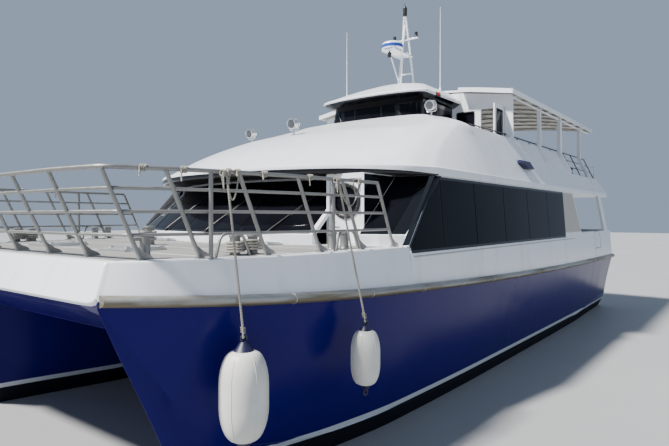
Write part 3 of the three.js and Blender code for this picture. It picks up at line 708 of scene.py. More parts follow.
# %% Strakes
dents = random.Random(7)
DEEPEST_DENT = 0.05
STRAKE_R, STRAKE_RISE, STRAKE_BACK = 0.095, 0.066, 0.006
STRAKE_X = steps(STERN, 10.07, 150)
for side_name, side in SIDES.items():
    strake = bmesh.new()
    outlines = []
    for x in STRAKE_X:
        dent = 1 - DEEPEST_DENT * dents.random() ** 3
        half_width, height = deck_half(x) - 0.004, sheer(x)
        outline = [(half_width + STRAKE_R * dent * math.cos(t), height + STRAKE_RISE * math.sin(t))
                   for t in degrees(*range(-90, 91, 15))]
        outline += [(half_width - STRAKE_BACK, height + rise) for rise in (STRAKE_RISE, -STRAKE_RISE)]
        outlines.append([Vector((x, side * y, z)) for y, z in outline])
    skin(strake, outlines)
    piece = finish_mesh(f"strake_alloy_{side_name}", strake, STRAKE_ALLOY, "ship",
                        math.radians(50))
    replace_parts(piece, f"strake_{side_name}")

    seams = bmesh.new()
    for x in steps(-8.5, 8.0, 12):
        half_width, height = deck_half(x), sheer(x)
        arc = [(x, side * (half_width + 0.094 * math.cos(t)), height + 0.067 * math.sin(t))
               for t in degrees(*range(-80, 81, 16))]
        tube(seams, arc, 0.006, 6)
    finish_mesh(f"strake_welds_{side_name}", seams, ALLOY, "ship")
print("strake sections", len(STRAKE_X))

# %% [markdown]
# The foredeck is one deep white moulding across both bows: flat on top, rounded where it turns down, and
# hollow between the hulls. Its outline is followed station by station with a quarter round at each upper
# edge. The walking area is a separate, greyer, gritty paint, let into the deck in panels.

# %% Foredeck
FOREDECK_TOP = 2.92
EDGE_ROUND, EDGE_SET_IN = 0.028, 0.11
wet_deck = curve_through(STATIONS, 3)


def foredeck_section(x, top, inset):
    """The deck's section from ahead: out to the strake, round the edge, and back under between the hulls."""
    station = min(x, LAST_X)
    half, low = deck_half(station) - inset, sheer(station) + inset
    head = half - EDGE_SET_IN
    rounding = [(head - EDGE_ROUND * (1 - math.sin(t)), top - EDGE_ROUND * (1 - math.cos(t)))
                for t in degrees(90, 72, 54, 36, 18, 0)]
    upper = [(half, low)] + rounding
    tunnel = HULL_Y - max(inner_half(x), HULL_HALF * share(station))
    ceiling = wet_deck(station) + inset
    depth = low - ceiling
    belly = [(tunnel + 0.02, low - 0.0005), (tunnel - 0.02, ceiling + min(0.1, 0.4 * depth)),
             (tunnel - 0.12, ceiling + min(0.012, 0.1 * depth)), (tunnel - 0.4, ceiling)]
    half_outline = belly[::-1] + upper
    port = [Vector((x, y, z)) for y, z in half_outline]
    return port + [Vector((x, -y, z)) for y, z in reversed(half_outline)]


deck = bmesh.new()
outlines = [foredeck_section(x, FOREDECK_TOP, 0.0) for x in steps(5.201, 9.6, 26) + steps(9.66, LAST_X, 12)]
for drop, ahead in ((0.006, 0.022), (0.02, 0.036), (0.045, 0.046)):
    outlines.append(foredeck_section(LAST_X + ahead, FOREDECK_TOP - drop, drop))
skin(deck, outlines)
BOW_RAKE, RAKE_START, BOW_FACE = 0.2, 9.4, 10.126
for vert in deck.verts:
    if vert.co.x > RAKE_START:
        ahead = (vert.co.x - RAKE_START) / (BOW_FACE - RAKE_START)
        low = sheer(min(vert.co.x, LAST_X))
        rise = max(0, (vert.co.z - low) / (FOREDECK_TOP - low))
        vert.co.x -= BOW_RAKE * ahead * rise
deck.normal_update()
for face in deck.faces:
    center = face.calc_center_median()
    under_sheer = center.z < sheer(min(center.x, LAST_X))
    if under_sheer and face.normal.x < 0.8 and center.x < LAST_X + 0.01:
        face.material_index = 1
foredeck = finish_mesh("foredeck_moulding", deck, [WHITE, HULL], "ship", math.radians(30))

grit = bmesh.new()
PANEL_EDGES = [5.56, 6.65, 7.72, 8.79, 9.84]
PANEL_PARTS = [(-1.0, -0.34), (-0.33, 0.33), (0.34, 1.0)]
PANEL_GAP, PANEL_MARGIN, GRIT_THICK = 0.05, 0.34, 0.004
for start, end in zip(PANEL_EDGES, PANEL_EDGES[1:]):
    back, front = start + PANEL_GAP, end - PANEL_GAP
    for low_part, high_part in PANEL_PARTS:
        corners = []
        for x, part in ((back, low_part), (front, low_part), (front, high_part), (back, high_part)):
            corners.append((x, part * (deck_half(x) - PANEL_MARGIN), FOREDECK_TOP + 0.0005))
        plate(grit, corners, (0, 0, GRIT_THICK))
finish_mesh("foredeck_grit_panels", grit, DECK, "ship")
print("foredeck panels", len(PANEL_PARTS) * (len(PANEL_EDGES) - 1))

# %% [markdown]
# Deck gear: square hatches with dogs and hinges, and the mooring posts. A post is a heavy pipe with a welded
# cap, a doubler plate at its foot and a round bar through it for the line to catch on.

# %% Mooring posts and hatches
def mooring_post(mesh_data, x, y, radius, height):
    foot, cap = FOREDECK_TOP - 0.003, height - 0.03
    profile = [(0, radius + 0.03), (0.014, radius + 0.03), (0.02, radius + 0.006), (0.03, radius),
               (cap, radius), (cap, radius + 0.012), (height - 0.008, radius + 0.012), (height, radius)]
    lathe(mesh_data, (x, y, foot), UP, profile, 28)


PAIR_X, PAIR_Y = 8.3, 3.1  # the pair of posts that carries the mooring turns
BAR_Z = FOREDECK_TOP + 0.23
posts = bmesh.new()
for side in SIDES.values():
    mooring_post(posts, 9.45, side * 2.7, 0.06, 0.32)
    tube(posts, [(9.31, side * 2.7, BAR_Z), (9.59, side * 2.7, BAR_Z)], 0.019, 12)
    for x, y in ((PAIR_X, PAIR_Y), (6.6, 3.3)):
        for ahead in (-0.15, 0.15):
            mooring_post(posts, x + ahead, side * y, 0.065, 0.26)
        base_low, base_high = FOREDECK_TOP, FOREDECK_TOP + 0.012
        block(posts, (x - 0.26, side * y - 0.1, base_low), (x + 0.26, side * y + 0.1, base_high), 0.004)
mooring_post(posts, 7.6, 0, 0.09, 0.33)
tube(posts, [(7.6, -0.2, BAR_Z), (7.6, 0.2, BAR_Z)], 0.022, 12)
posts_piece = finish_mesh("mooring_posts", posts, RAIL_ALLOY, "ship")
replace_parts(foredeck, "foredeck")
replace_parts(posts_piece, "foredeck")

HATCHES = [(8.6, 1.1), (8.6, -1.1), (6.15, 1.4), (6.15, -1.4)]
DOG_PROFILE = [(0, 0.035), (0.015, 0.03), (0.02, 0)]
hatches = bmesh.new()
for x, y in HATCHES:
    for half, low, high in ((0.34, 0, 0.035), (0.29, 0.03, 0.05)):
        block(hatches, (x - half, y - half, FOREDECK_TOP + low), (x + half, y + half, FOREDECK_TOP + high),
              0.012)
    for offset in (-0.2, 0.2):
        block(hatches, (x - 0.37, y + offset - 0.045, FOREDECK_TOP + 0.02),
              (x - 0.27, y + offset + 0.045, FOREDECK_TOP + 0.06), 0.008)
        lathe(hatches, (x + 0.22, y + offset, FOREDECK_TOP + 0.05), UP, DOG_PROFILE, 16)
finish_mesh("foredeck_hatches", hatches, ALLOY, "ship")
print("hatches", len(HATCHES))

# %% [markdown]
# The long side window is one band of dark glass bonded to the outside of the cabin. From close by it is a
# row of panes with black joints, standing a few millimetres proud of a wider black border.

# %% Side glass
TUMBLEHOME, BULWARK_FOOT = 0.08, 1.9  # the side wall leans in by this much a metre, from this height
SIDE_GLASS = [(5.15, 2.8), (5.23, 2.93), (4.12, 4.13), (-3.9, 4.13), (-3.9, 2.8)]


def side_face(z):
    return BEAM_HALF - TUMBLEHOME * (z - BULWARK_FOOT)


def on_side(x, z, side, proud):
    return Vector((x, side * (side_face(z) + proud), z))


def front_edge(z):
    """Where the side glass ends forward, which rakes aft with height."""
    return 5.23 - 1.11 * max(0.0, (z - 2.93) / 1.2) if z > 2.93 else 5.15 + 0.08 * (z - 2.8) / 0.13


JOINTS = [-3.86, -2.28, -0.68, 0.92, 2.52, 4.02]
JOINT_HALF, PANE_LOW, PANE_HIGH = 0.012, 2.85, 4.08
PANE_PROUD, PANE_THICK = 0.0112, 0.006
FOREMOST_PANE = [(4.044, PANE_LOW), (5.13, PANE_LOW), (5.17, 2.93), (front_edge(PANE_HIGH) - 0.02, 4.05),
                 (4.044, PANE_HIGH)]
for side_name, side in SIDES.items():
    backing = bmesh.new()
    plate(backing, [on_side(x, z, side, 0.001) for x, z in SIDE_GLASS], (0, side * 0.010, 0))
    finish_mesh(f"side_glass_border_{side_name}", backing, FRIT, "ship")

    panes = bmesh.new()
    for start, end in zip(JOINTS, JOINTS[1:]):
        aft, ahead = start + JOINT_HALF, end - JOINT_HALF
        outline = [(aft, PANE_LOW), (ahead, PANE_LOW), (min(ahead, front_edge(PANE_HIGH) - 0.05), PANE_HIGH),
                   (aft, PANE_HIGH)]
        plate(panes, [on_side(x, z, side, PANE_PROUD) for x, z in outline], (0, side * PANE_THICK, 0))
    plate(panes, [on_side(x, z, side, PANE_PROUD) for x, z in FOREMOST_PANE], (0, side * PANE_THICK, 0))
    glass = finish_mesh(f"side_panes_{side_name}", panes, GLASS, "ship")
    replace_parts(glass, f"side_glass_{side_name}")
print("panes each side", len(JOINTS))

# %% [markdown]
# The windscreen wraps round the front of the cabin in facets that lean back. It is given as the foot and
# head of the wall at five places across the ship, so a point on the glass is found by mixing those.

# %% Windscreen
SCREEN = [(0, 6.4, 5.2), (1.5, 6.21, 5.01), (2.4, 5.92, 4.74), (3.3, 5.5, 4.33), (3.72, 5.19, 4.03)]
SCREEN_FOOT, SCREEN_HEAD = 3.1, 4.1495


def on_screen(y, z, ahead=0.0):
    """A point of the windscreen's plane, a little ahead of it if asked."""
    place = abs(y)
    for (y0, foot0, head0), (y1, foot1, head1) in zip(SCREEN, SCREEN[1:]):
        if place <= y1 or (y1, foot1) == SCREEN[-1][:2]:
            part = (place - y0) / (y1 - y0)
            foot, head = mix(foot0, foot1, part), mix(head0, head1, part)
            up = (z - SCREEN_FOOT) / (SCREEN_HEAD - SCREEN_FOOT)
            return Vector((mix(foot, head, up) + ahead, y, z))


def screen_pane(mesh_data, y0, y1, z0, z1, ahead, thickness):
    """A pane between two places across the ship, following the wall where it bends."""
    bends = [side * row[0] for row in SCREEN for side in (-1, 1)]
    places = sorted({y0, y1} | {round(b, 3) for b in bends if y0 < b < y1})
    outline = [on_screen(y, z0, ahead) for y in places] + [on_screen(y, z1, ahead) for y in reversed(places)]
    lower, upper = outline[:len(places)], outline[len(places):][::-1]
    rings = [[low, high, high + Vector((thickness, 0, 0)), low + Vector((thickness, 0, 0))]
             for low, high in zip(lower, upper)]
    skin(mesh_data, rings)


SCREEN_JOINTS = [-3.46, -2.3, -0.76, 0.78, 2.17]
SCREEN_GAP, GLASS_LOW, GLASS_HIGH = 0.03, 3.17, 4.075
BORDER_LOW, BORDER_PROUD, BORDER_THICK, GLASS_PROUD, GLASS_THICK = 3.12, 0.001, 0.0095, 0.011, 0.008
glass, border = bmesh.new(), bmesh.new()
screen_pane(border, -3.48, 2.19, BORDER_LOW, 4.1, BORDER_PROUD, BORDER_THICK)
for start, end in zip(SCREEN_JOINTS, SCREEN_JOINTS[1:]):
    screen_pane(glass, start + SCREEN_GAP, end - SCREEN_GAP, GLASS_LOW, GLASS_HIGH, GLASS_PROUD, GLASS_THICK)
finish_mesh("windscreen_border", border, FRIT, "ship")
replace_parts(finish_mesh("windscreen_panes", glass, GLASS, "ship", math.radians(20)),
            "windscreen")

side_glass, side_border = bmesh.new(), bmesh.new()
screen_pane(side_border, 3.001, 3.7, BORDER_LOW, 4.14, BORDER_PROUD, BORDER_THICK)
screen_pane(side_glass, 3.05, 3.46, GLASS_LOW, GLASS_HIGH, GLASS_PROUD, GLASS_THICK)
finish_mesh("windscreen_side_border", side_border, FRIT, "ship")
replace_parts(finish_mesh("windscreen_side_pane", side_glass, GLASS, "ship"), "windscreen_side")

cheek_glass = bmesh.new()
cheek = [(5.49, 3.26), (5.49, 4.13), (4.52, 4.13)]
for y, thick in ((3.0005, 0.006), (2.1995, -0.006)):
    plate(cheek_glass, [(x, y, z) for x, z in cheek], (0, thick, 0))
finish_mesh("door_cheek_panes", cheek_glass, GLASS, "ship")

WIPERS_Y = (-2.9, -1.5, 0.0, 1.45)
WIPER_FOOT, WIPER_TIP = 3.14, 3.72
wipers = bmesh.new()
for y in WIPERS_Y:
    foot, tip = on_screen(y, WIPER_FOOT, 0.05), on_screen(y + 0.34, WIPER_TIP, 0.045)
    tube(wipers, [foot, on_screen(y + 0.03, 3.2, 0.065), tip], 0.009, 8)
    lathe(wipers, on_screen(y, WIPER_FOOT, 0.0), (1, 0, 0), [(0, 0.035), (0.05, 0.03), (0.06, 0.012)], 16)
    tube(wipers, [on_screen(y + 0.2, 3.42, 0.03), on_screen(y + 0.47, 4.02, 0.03)], 0.008, 8)
    tube(wipers, [tip, on_screen(y + 0.335, WIPER_TIP, 0.028)], 0.013, 8)
finish_mesh("windscreen_wipers", wipers, BLACK, "ship")
print("windscreen panes", len(SCREEN_JOINTS), "and wipers", len(WIPERS_Y))

# %% [markdown]
# The front door has a round window in a heavy dark ring held by eight dogs, a lever handle and three
# hinges. They ride on the door, so they swing with it.

# %% Foredeck door
RING = (5.465, 2.6, 3.68)
RING_PROFILE = [(0.003, 0.25), (0.02, 0.245), (0.03, 0.26), (0.032, 0.3), (0.02, 0.315), (0.0, 0.318)]
DOGS = 8


def round_ring(t, ahead, radius):
    """A point of the round window: an angle, a distance ahead of the leaf and a radius."""
    return Vector((RING[0] + ahead, RING[1] + radius * math.cos(t), RING[2] + radius * math.sin(t)))


door_trim = bmesh.new()
rings = [[round_ring(t, ahead, radius) for t in angles(40)] for ahead, radius in RING_PROFILE]
skin(door_trim, rings, close_ends=False)
for t in angles(DOGS, 0.5):
    lathe(door_trim, round_ring(t, 0.03, 0.28), (1, 0, 0), [(0, 0.014), (0.008, 0.014), (0.012, 0.008)], 10)
finish_mesh("front_door_ring", door_trim, BLACK, "foredeck_door")

pane = bmesh.new()
lathe(pane, (5.425, RING[1], RING[2]), (1, 0, 0), [(0, 0.285), (0.02, 0.285), (0.0205, 0.283)], 40)
finish_mesh("front_door_pane", pane, GLASS, "foredeck_door")


def lever_handle(mesh_data, place, outward, along):
    """A rose, a spindle and a lever that turns a corner."""
    place, outward, along = Vector(place), Vector(outward), Vector(along)
    lathe(mesh_data, place, outward, [(0, 0.03), (0.008, 0.03), (0.012, 0.02)], 16)
    corner = place + outward * 0.05
    tube(mesh_data, rounded_path([place, corner, corner + along * 0.12], 0.02), 0.009, 10)


hardware = bmesh.new()
lever_handle(hardware, (5.465, 2.32, 3.3), (1, 0, 0), (0, 1, 0))
HINGES_Z = (3.1, 3.5, 3.9)
for z in HINGES_Z:
    block(hardware, (5.46, 2.86, z - 0.06), (5.474, 2.93, z + 0.06), 0.004)
    lathe(hardware, (5.474, 2.93, z - 0.06), UP, [(0, 0.012), (0.12, 0.012)], 12)
finish_mesh("front_door_hardware", hardware, STAINLESS, "foredeck_door")
print("the front door has", DOGS, "dogs and", len(HINGES_Z), "hinges")

# %% [markdown]
# Above the windscreen the white front rises in one smooth bulge to the wheelhouse, tightest where it meets
# the top. The solid has six levels, each a nosed outline. A curve through those levels gives forty, and the
# nose of each outline is itself a curve through the solid's corners.

# %% Smooth front and roofs
NOSE = [(0, 1, 1), (1, 0.93, 0.67), (2, 0.82, 0.46), (3, 0.68, 0.3), (4, 0.5, 0.15), (5, 0.3, 0.05),
        (6, 0, 0)]
nose_out, nose_behind = curve_through(NOSE, 1), curve_through(NOSE, 2)


def nosed(half, front, set_back, back, z, tail=None):
    """A level outline: square at the back, rounded to a point forward, from port aft to starboard aft."""
    port = [(back, half if tail is None else tail)]
    port += [(front - set_back * nose_behind(s), half * nose_out(s)) for s in steps(0, 5.75, 24)]
    whole = port + [(front, 0)] + [(x, -y) for x, y in reversed(port)]
    return [Vector((x, y, z)) for x, y in whole]


BROW = [  # height, half width, nose, and how far back the nose starts
    (4.3005, 3.65, 6.08, 2.0), (4.75, 3.41, 5.2, 1.8), (5.2, 3.169, 4.0, 1.55), (5.48, 3.02, 2.95, 1.15),
    (5.7, 2.5, 2.2, 0.78), (5.85, 1.9, 1.68, 0.29),
]
brow_half, brow_front, brow_set = (curve_through(BROW, column) for column in (1, 2, 3))
BROW_BACK, BROW_LEVELS = 1.35, 40
brow = bmesh.new()
levels = steps(BROW[0][0], BROW[-1][0], BROW_LEVELS)
skin(brow, [nosed(brow_half(z), brow_front(z), brow_set(z), BROW_BACK, z) for z in levels])
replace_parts(finish_mesh("front_fairing", brow, WHITE, "ship", math.radians(40)), "forehead")

ROOF = [  # the same four measures
    (6.4305, 1.44, 0.95, 0.33), (6.53, 1.6, 1.15, 0.37), (6.575, 1.64, 1.19, 0.38), (6.74, 1.5, 0.84, 0.35),
    (6.94, 1.15, 0.38, 0.3), (7.08, 0.6, 0, 0.2),
]
roof_half, roof_front, roof_set = (curve_through(ROOF, column) for column in (1, 2, 3))
ROOF_BACK, ROOF_LEVELS, SHADE_PAINT_BELOW = -1.199, 30, 6.535
AERIALS, AERIAL_FOOT = [(0.15, -1.3, 8.78), (-0.63, 1.3, 9.14)], 6.7
roof = bmesh.new()
levels = steps(ROOF[0][0], ROOF[-1][0], ROOF_LEVELS)
skin(roof, [nosed(roof_half(z), roof_front(z), roof_set(z), ROOF_BACK, z) for z in levels])
for x, y, top in AERIALS:
    profile = [(0, 0.04), (0.2, 0.035), (0.24, 0.02), (0.3, 0.014), (top - AERIAL_FOOT, 0.006)]
    lathe(roof, (x, y, AERIAL_FOOT), UP, profile, 14)
bmesh.ops.recalc_face_normals(roof, faces=roof.faces)
# downward faces of the roof's lip towards the front are painted black: painted shade under the visor's edge
for face in roof.faces:
    center = face.calc_center_median()
    if center.z < SHADE_PAINT_BELOW and face.normal.z < -0.1 and center.x > -1.1:
        face.material_index = 1
visor = finish_mesh("wheelhouse_visor", roof, [WHITE, FRIT], "ship", math.radians(40))
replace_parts(visor, "wheelhouse_roof")
print("levels", BROW_LEVELS, "in the front and", ROOF_LEVELS, "in the roof")

# %% [markdown]
# The overhang of the front keeps the sun off the windscreen. Its underside is covered by a thin black sheet,
# painted shade, so that from below it runs into the glass.

# %% Painted shade under the overhang
LIP_NOSE, LIP_SET_BACK, LIP_HALF = 6.12, 2.05, 3.62
SHADE_SHEET_Z, SHADE_SHEET_THICK = 4.1495, Vector((0, 0, 0.004))
lip_port = [(LIP_NOSE - LIP_SET_BACK * nose_behind(s), LIP_HALF * nose_out(s)) for s in steps(0.3, 5.9, 30)]
lip = lip_port + [(x, -y) for x, y in reversed(lip_port)]
# a thin black sheet of painted shade under the overhang, from the windscreen out to the edge
shade_sheet = bmesh.new()
rings = []
for x, y in lip:
    inner, outer = on_screen(y, 4.149, 0.012), Vector((x, y, SHADE_SHEET_Z))
    inner.z = outer.z
    rings.append([inner, outer, outer - SHADE_SHEET_THICK, inner - SHADE_SHEET_THICK])
skin(shade_sheet, rings)
finish_mesh("front_painted_shade", shade_sheet, BLACK, "ship")
print("lining sections", len(lip))

# %% [markdown]
# A floodlight is a spun drum with cooling ribs, a bezel and a glass, in a yoke on a short post. One
# function makes it, and it is called at the three places the photograph shows.

# %% Floodlights
DRUM_PROFILE = [
    (0, 0.02), (0.004, 0.075), (0.03, 0.1), (0.05, 0.1), (0.052, 0.112), (0.066, 0.112), (0.068, 0.102),
    (0.084, 0.102), (0.086, 0.114), (0.1, 0.114), (0.102, 0.105), (0.19, 0.112), (0.192, 0.122),
    (0.225, 0.122), (0.228, 0.106), (0.215, 0.1),
]
YOKE = [(-0.13, 0.27), (-0.13, 0.11), (0.13, 0.11), (0.13, 0.27)]


def floodlight(body_mesh, lens_mesh, x, y, z):
    axis = Vector((0.97, 0, -0.22))
    back = Vector((x, y, z + 0.26)) - axis * 0.12
    lathe(body_mesh, back, axis, DRUM_PROFILE, 32)
    lathe(lens_mesh, back + axis * 0.214, axis, [(0, 0.1), (0.008, 0.085), (0.013, 0.05), (0.016, 0.01)], 32)
    tube(body_mesh, [(x, y, z - 0.02), (x, y, z + 0.11)], 0.02, 14)
    lathe(body_mesh, (x, y, z - 0.03), UP, [(0, 0.06), (0.04, 0.06), (0.048, 0.03)], 20)
    arms = [(x, y + out, z + up) for out, up in YOKE]
    tube(body_mesh, rounded_path(arms, 0.05), 0.009, 10)


FLOODLIGHTS = [(3.9, 0, 5.23), (3.0, -2.3, 5.33), (1.5, 2.15, 5.76)]
drums, lenses = bmesh.new(), bmesh.new()
for x, y, z in FLOODLIGHTS:
    floodlight(drums, lenses, x, y, z)
finish_mesh("floodlight_drums", drums, STAINLESS, "ship")
finish_mesh("floodlight_lenses", lenses, LENS, "ship")
print("floodlights", len(FLOODLIGHTS))

# %% [markdown]
# The wheelhouse windows are separate dark panes in a black band. The band is flat on each face, so a pane
# is laid out on the face it belongs to, from the height and the distance along it.

# %% Wheelhouse glass
VISOR_Z, UPPER_DECK, GLASS_BACK = 6.43, 4.3, -1.15
WINDOW_LOW, WINDOW_HIGH, WINDOW_PROUD, WINDOW_THICK = 5.79, 6.32, 0.014, 0.006


def wheelhouse_ring(z, proud=0.0):
    up = (z - UPPER_DECK) / (VISOR_Z - UPPER_DECK)
    return 1.45 - 0.05 * up + proud, 1.34 - 0.52 * up + proud, 0.3


def wheelhouse_outline(z, proud, back):
    half, front, set_back = wheelhouse_ring(z, proud)
    port = [(back, half)]
    port += [(front - set_back * behind, half * out) for _, out, behind in NOSE[:6]]
    whole = port + [(front, 0)] + [(x, -y) for x, y in reversed(port)]
    return [Vector((x, y, z)) for x, y in whole]


def band(mesh_data, z0, z1, proud, thickness, back):
    """An open strip round the wheelhouse, with a thickness."""
    rings = [wheelhouse_outline(z0, proud, back), wheelhouse_outline(z1, proud, back),
             wheelhouse_outline(z1, proud + thickness, back), wheelhouse_outline(z0, proud + thickness, back)]
    places = [[ring[index] for ring in rings] for index in range(len(rings[0]))]
    skin(mesh_data, places)


def ring_point(z, along, proud):
    """A point at a distance along the outline from its port after corner."""
    outline = wheelhouse_outline(z, proud, GLASS_BACK)
    left = along
    for start, end in zip(outline, outline[1:]):
        run = (end - start).length
        if left <= run:
            return start.lerp(end, left / run)
        left -= run
    return outline[-1]


band_mesh = bmesh.new()
band(band_mesh, 5.735, 6.4295, 0.001, 0.012, GLASS_BACK)
finish_mesh("wheelhouse_black_band", band_mesh, FRIT, "ship")

panes = bmesh.new()
low_ring = wheelhouse_outline(5.8, WINDOW_PROUD, GLASS_BACK)
length = sum((b - a).length for a, b in zip(low_ring, low_ring[1:]))
corners = [0]
for start, end in zip(low_ring, low_ring[1:]):
    corners.append(corners[-1] + (end - start).length)
half_length = length / 2
spans = [(0.08, 0.86), (0.93, 1.66), (1.80, 2.36)]
spans += [(2.5, half_length - 0.46), (half_length - 0.4, half_length + 0.4)]
spans += [(length - end, length - start) for start, end in spans[:4][::-1]]
for start, end in spans:
    cuts = sorted({start, end} | {c for c in corners if start < c < end})
    rings = []
    for along in cuts:
        low = ring_point(WINDOW_LOW, along, WINDOW_PROUD)
        high = ring_point(WINDOW_HIGH, along * 0.985 + 0.01, WINDOW_PROUD)
        outward = Vector((0.35, low.y, 0)).normalized() * WINDOW_THICK
        rings.append([low, high, high + outward, low + outward])
    skin(panes, rings)
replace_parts(finish_mesh("wheelhouse_panes", panes, GLASS, "ship"), "wheelhouse_glass")
print("wheelhouse panes", len(spans))

# %% [markdown]
# The canopy is a thin crowned roof. From below, what shows is its edge and its underside, so it gets a
# rolled edge trim, a warmer lining underneath, and shallow beams across with slats between them.

# %% Canopy
CROWN = [(-3.2, 6.69), (-1.7, 6.92), (0, 7.04), (1.7, 6.92), (3.2, 6.69)]
crown_height = curve_through(CROWN, 1)
CANOPY_BACK, CANOPY_FRONT, NOTCH = -9.4, -0.9, -1.2005
CANOPY_HALF, SHEET_HALF, NOTCH_HALF = 3.2, 3.19, 1.705
BEAM_DEPTH, SLAT_DEPTH = 0.035, 0.024


def crown_strip(mesh_data, x0, x1, y0, y1, top, thick, count=24):
    """A piece of the crowned sheet, between two places along and two across."""
    rings = []
    for y in steps(y0, y1, count):
        z = crown_height(y) + top
        rings.append([Vector((x0, y, z)), Vector((x1, y, z)), Vector((x1, y, z - thick)),
                      Vector((x0, y, z - thick))])
    skin(mesh_data, rings)


sheet = bmesh.new()
crown_strip(sheet, CANOPY_BACK + 0.01, NOTCH, -SHEET_HALF, SHEET_HALF, 0, 0.05, 40)
for y0, y1 in ((NOTCH_HALF, SHEET_HALF), (-SHEET_HALF, -NOTCH_HALF)):
    crown_strip(sheet, NOTCH - 0.01, CANOPY_FRONT - 0.01, y0, y1, -0.0005, 0.049, 12)
for x in steps(-9.1, -1.6, 9):
    crown_strip(sheet, x - 0.02, x + 0.02, -CANOPY_HALF, CANOPY_HALF, 0.012, 0.02, 40)
bmesh.ops.recalc_face_normals(sheet, faces=sheet.faces)
for face in sheet.faces:
    face.material_index = 1 if face.normal.z < -0.5 else 0
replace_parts(finish_mesh("canopy_sheet", sheet, [WHITE, CANOPY_LINING], "ship"), "canopy")

beams = bmesh.new()
BEAMS_X, SLATS_Y = steps(-9.1, -1.45, 9), steps(-2.8, 2.8, 8)
for x in BEAMS_X:
    crown_strip(beams, x - 0.025, x + 0.025, -3.16, 3.16, -0.05, BEAM_DEPTH, 24)
for y in SLATS_Y:
    z = crown_height(y) - 0.05
    block(beams, (CANOPY_BACK + 0.05, y - 0.02, z - SLAT_DEPTH), (NOTCH - 0.02, y + 0.02, z), 0.005)
finish_mesh("canopy_beams", beams, CANOPY_LINING, "ship")

trim = bmesh.new()
for side in SIDES.values():
    outer = side * CANOPY_HALF
    block(trim, (CANOPY_BACK, outer - 0.012, 6.58), (CANOPY_FRONT, outer + 0.012, 6.705), 0.008)
    tube(trim, [(CANOPY_BACK, side * SHEET_HALF, 6.7), (CANOPY_FRONT, side * SHEET_HALF, 6.7)], 0.018, 12)
    crown_strip(trim, CANOPY_FRONT - 0.025, CANOPY_FRONT, *sorted((side * 1.7, outer)), 0.015, 0.12, 14)
crown_strip(trim, CANOPY_BACK, CANOPY_BACK + 0.025, -CANOPY_HALF, CANOPY_HALF, 0.015, 0.12, 40)
finish_mesh("canopy_edge", trim, WHITE, "ship")
print("canopy beams", len(BEAMS_X), "and slats", len(SLATS_Y))

# %% [markdown]
# Two wipers rest on the wheelhouse windows, and a low black hand rail follows the top of the white front from
# the windows back to the bulkhead.

# %% Wheelhouse wipers and low rail
LOW_RAIL_TOP = 5.585
low_rail = bmesh.new()
for along in (half_length - 1.15, half_length + 0.75):
    foot, tip = ring_point(5.77, along, 0.04), ring_point(6.13, along + 0.24, 0.035)
    tube(low_rail, [foot, tip], 0.008, 8)
    tube(low_rail, [ring_point(5.9, along + 0.16, 0.026), ring_point(6.29, along + 0.3, 0.026)], 0.007, 8)
for side in SIDES.values():
    path = [(1.05, side * 2.78, 5.5), (0.95, side * 2.84, LOW_RAIL_TOP), (-1.25, side * 2.93, LOW_RAIL_TOP)]
    tube(low_rail, rounded_path(path, 0.05), 0.017, 12)
    for x in (0.4, -0.35, -1.1):
        y = mix(2.84, 2.93, (0.95 - x) / 2.2)
        tube(low_rail, [(x, side * y, 5.47), (x, side * y, LOW_RAIL_TOP)], 0.012, 10)
finish_mesh("wheelhouse_low_rail", low_rail, BLACK, "ship")
print("low rail height over the coaming", round(LOW_RAIL_TOP - BROW[3][0], 3), "m")

# %% [markdown]
# The mast is a light tripod of white tube with a platform for the radar, a spreader for two masthead lights
# and a tall black lantern on top. Flanges, clamps and cables make it read as equipment.

# %% Mast and radar
MAST_X, SPREADER_Z, RADAR_X = -0.95, 8.59, -0.25
LANTERN = [(0, 0.035), (0.02, 0.06), (0.05, 0.06), (0.052, 0.05), (0.07, 0.05), (0.072, 0.06), (0.24, 0.06),
           (0.26, 0.058), (0.3, 0.03), (0.31, 0.01), (0.41, 0.006)]
MASTHEAD_LAMP = [(0, 0.04), (0.02, 0.05), (0.03, 0.045), (0.12, 0.045), (0.14, 0.05), (0.155, 0.035),
                 (0.16, 0)]
LOWER_LAMP = [(0, 0.02), (0.01, 0.055), (0.12, 0.055), (0.14, 0.06), (0.15, 0.03), (0.22, 0.02)]
RADAR_UNDER = [(0, 0.14), (0.01, 0.2), (0.02, 0.27), (0.035, 0.298), (0.046, 0.3)]
RADAR_TOP = [(0, 0.3), (0.03, 0.29), (0.06, 0.262), (0.085, 0.2), (0.1, 0.11), (0.106, 0.02)]
mast = bmesh.new()
for y in (-0.23, 0.23):
    tube(mast, [(-1.1, y, 7.03), (-1.095, y * 0.98, 7.2), (MAST_X, y * 0.12, 9.25)], 0.03, 16)
    lathe(mast, (-1.1, y, 6.99), UP, [(0, 0.07), (0.07, 0.07), (0.08, 0.045)], 20)
tube(mast, [(-0.56, 0, 6.97), (-0.955, 0, 9.0)], 0.03, 16)
for z, reach in ((7.6, 0.17), (8.2, 0.12), (8.75, 0.07)):
    x = -1.07 + (z - 7.1) * 0.05
    tube(mast, [(x, -reach, z), (x, reach, z)], 0.018, 12)
block(mast, (-1.06, -0.2, 8.08), (-0.02, 0.2, 8.11), 0.012)
for y in (-0.2, 0.2):
    tube(mast, [(-1.06, y, 8.07), (-0.03, y, 8.07)], 0.014, 10)
tube(mast, [(-0.06, 0, 8.09), (-0.62, 0, 7.25)], 0.02, 12)
block(mast, (-1.01, -0.42, 8.56), (-0.93, 0.42, SPREADER_Z), 0.01)
lathe(mast, (MAST_X, 0, 9.2), UP, [(0, 0.05), (0.04, 0.055), (0.05, 0.03)], 20)
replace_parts(finish_mesh("mast_tubes", mast, WHITE, "ship"), "mast")

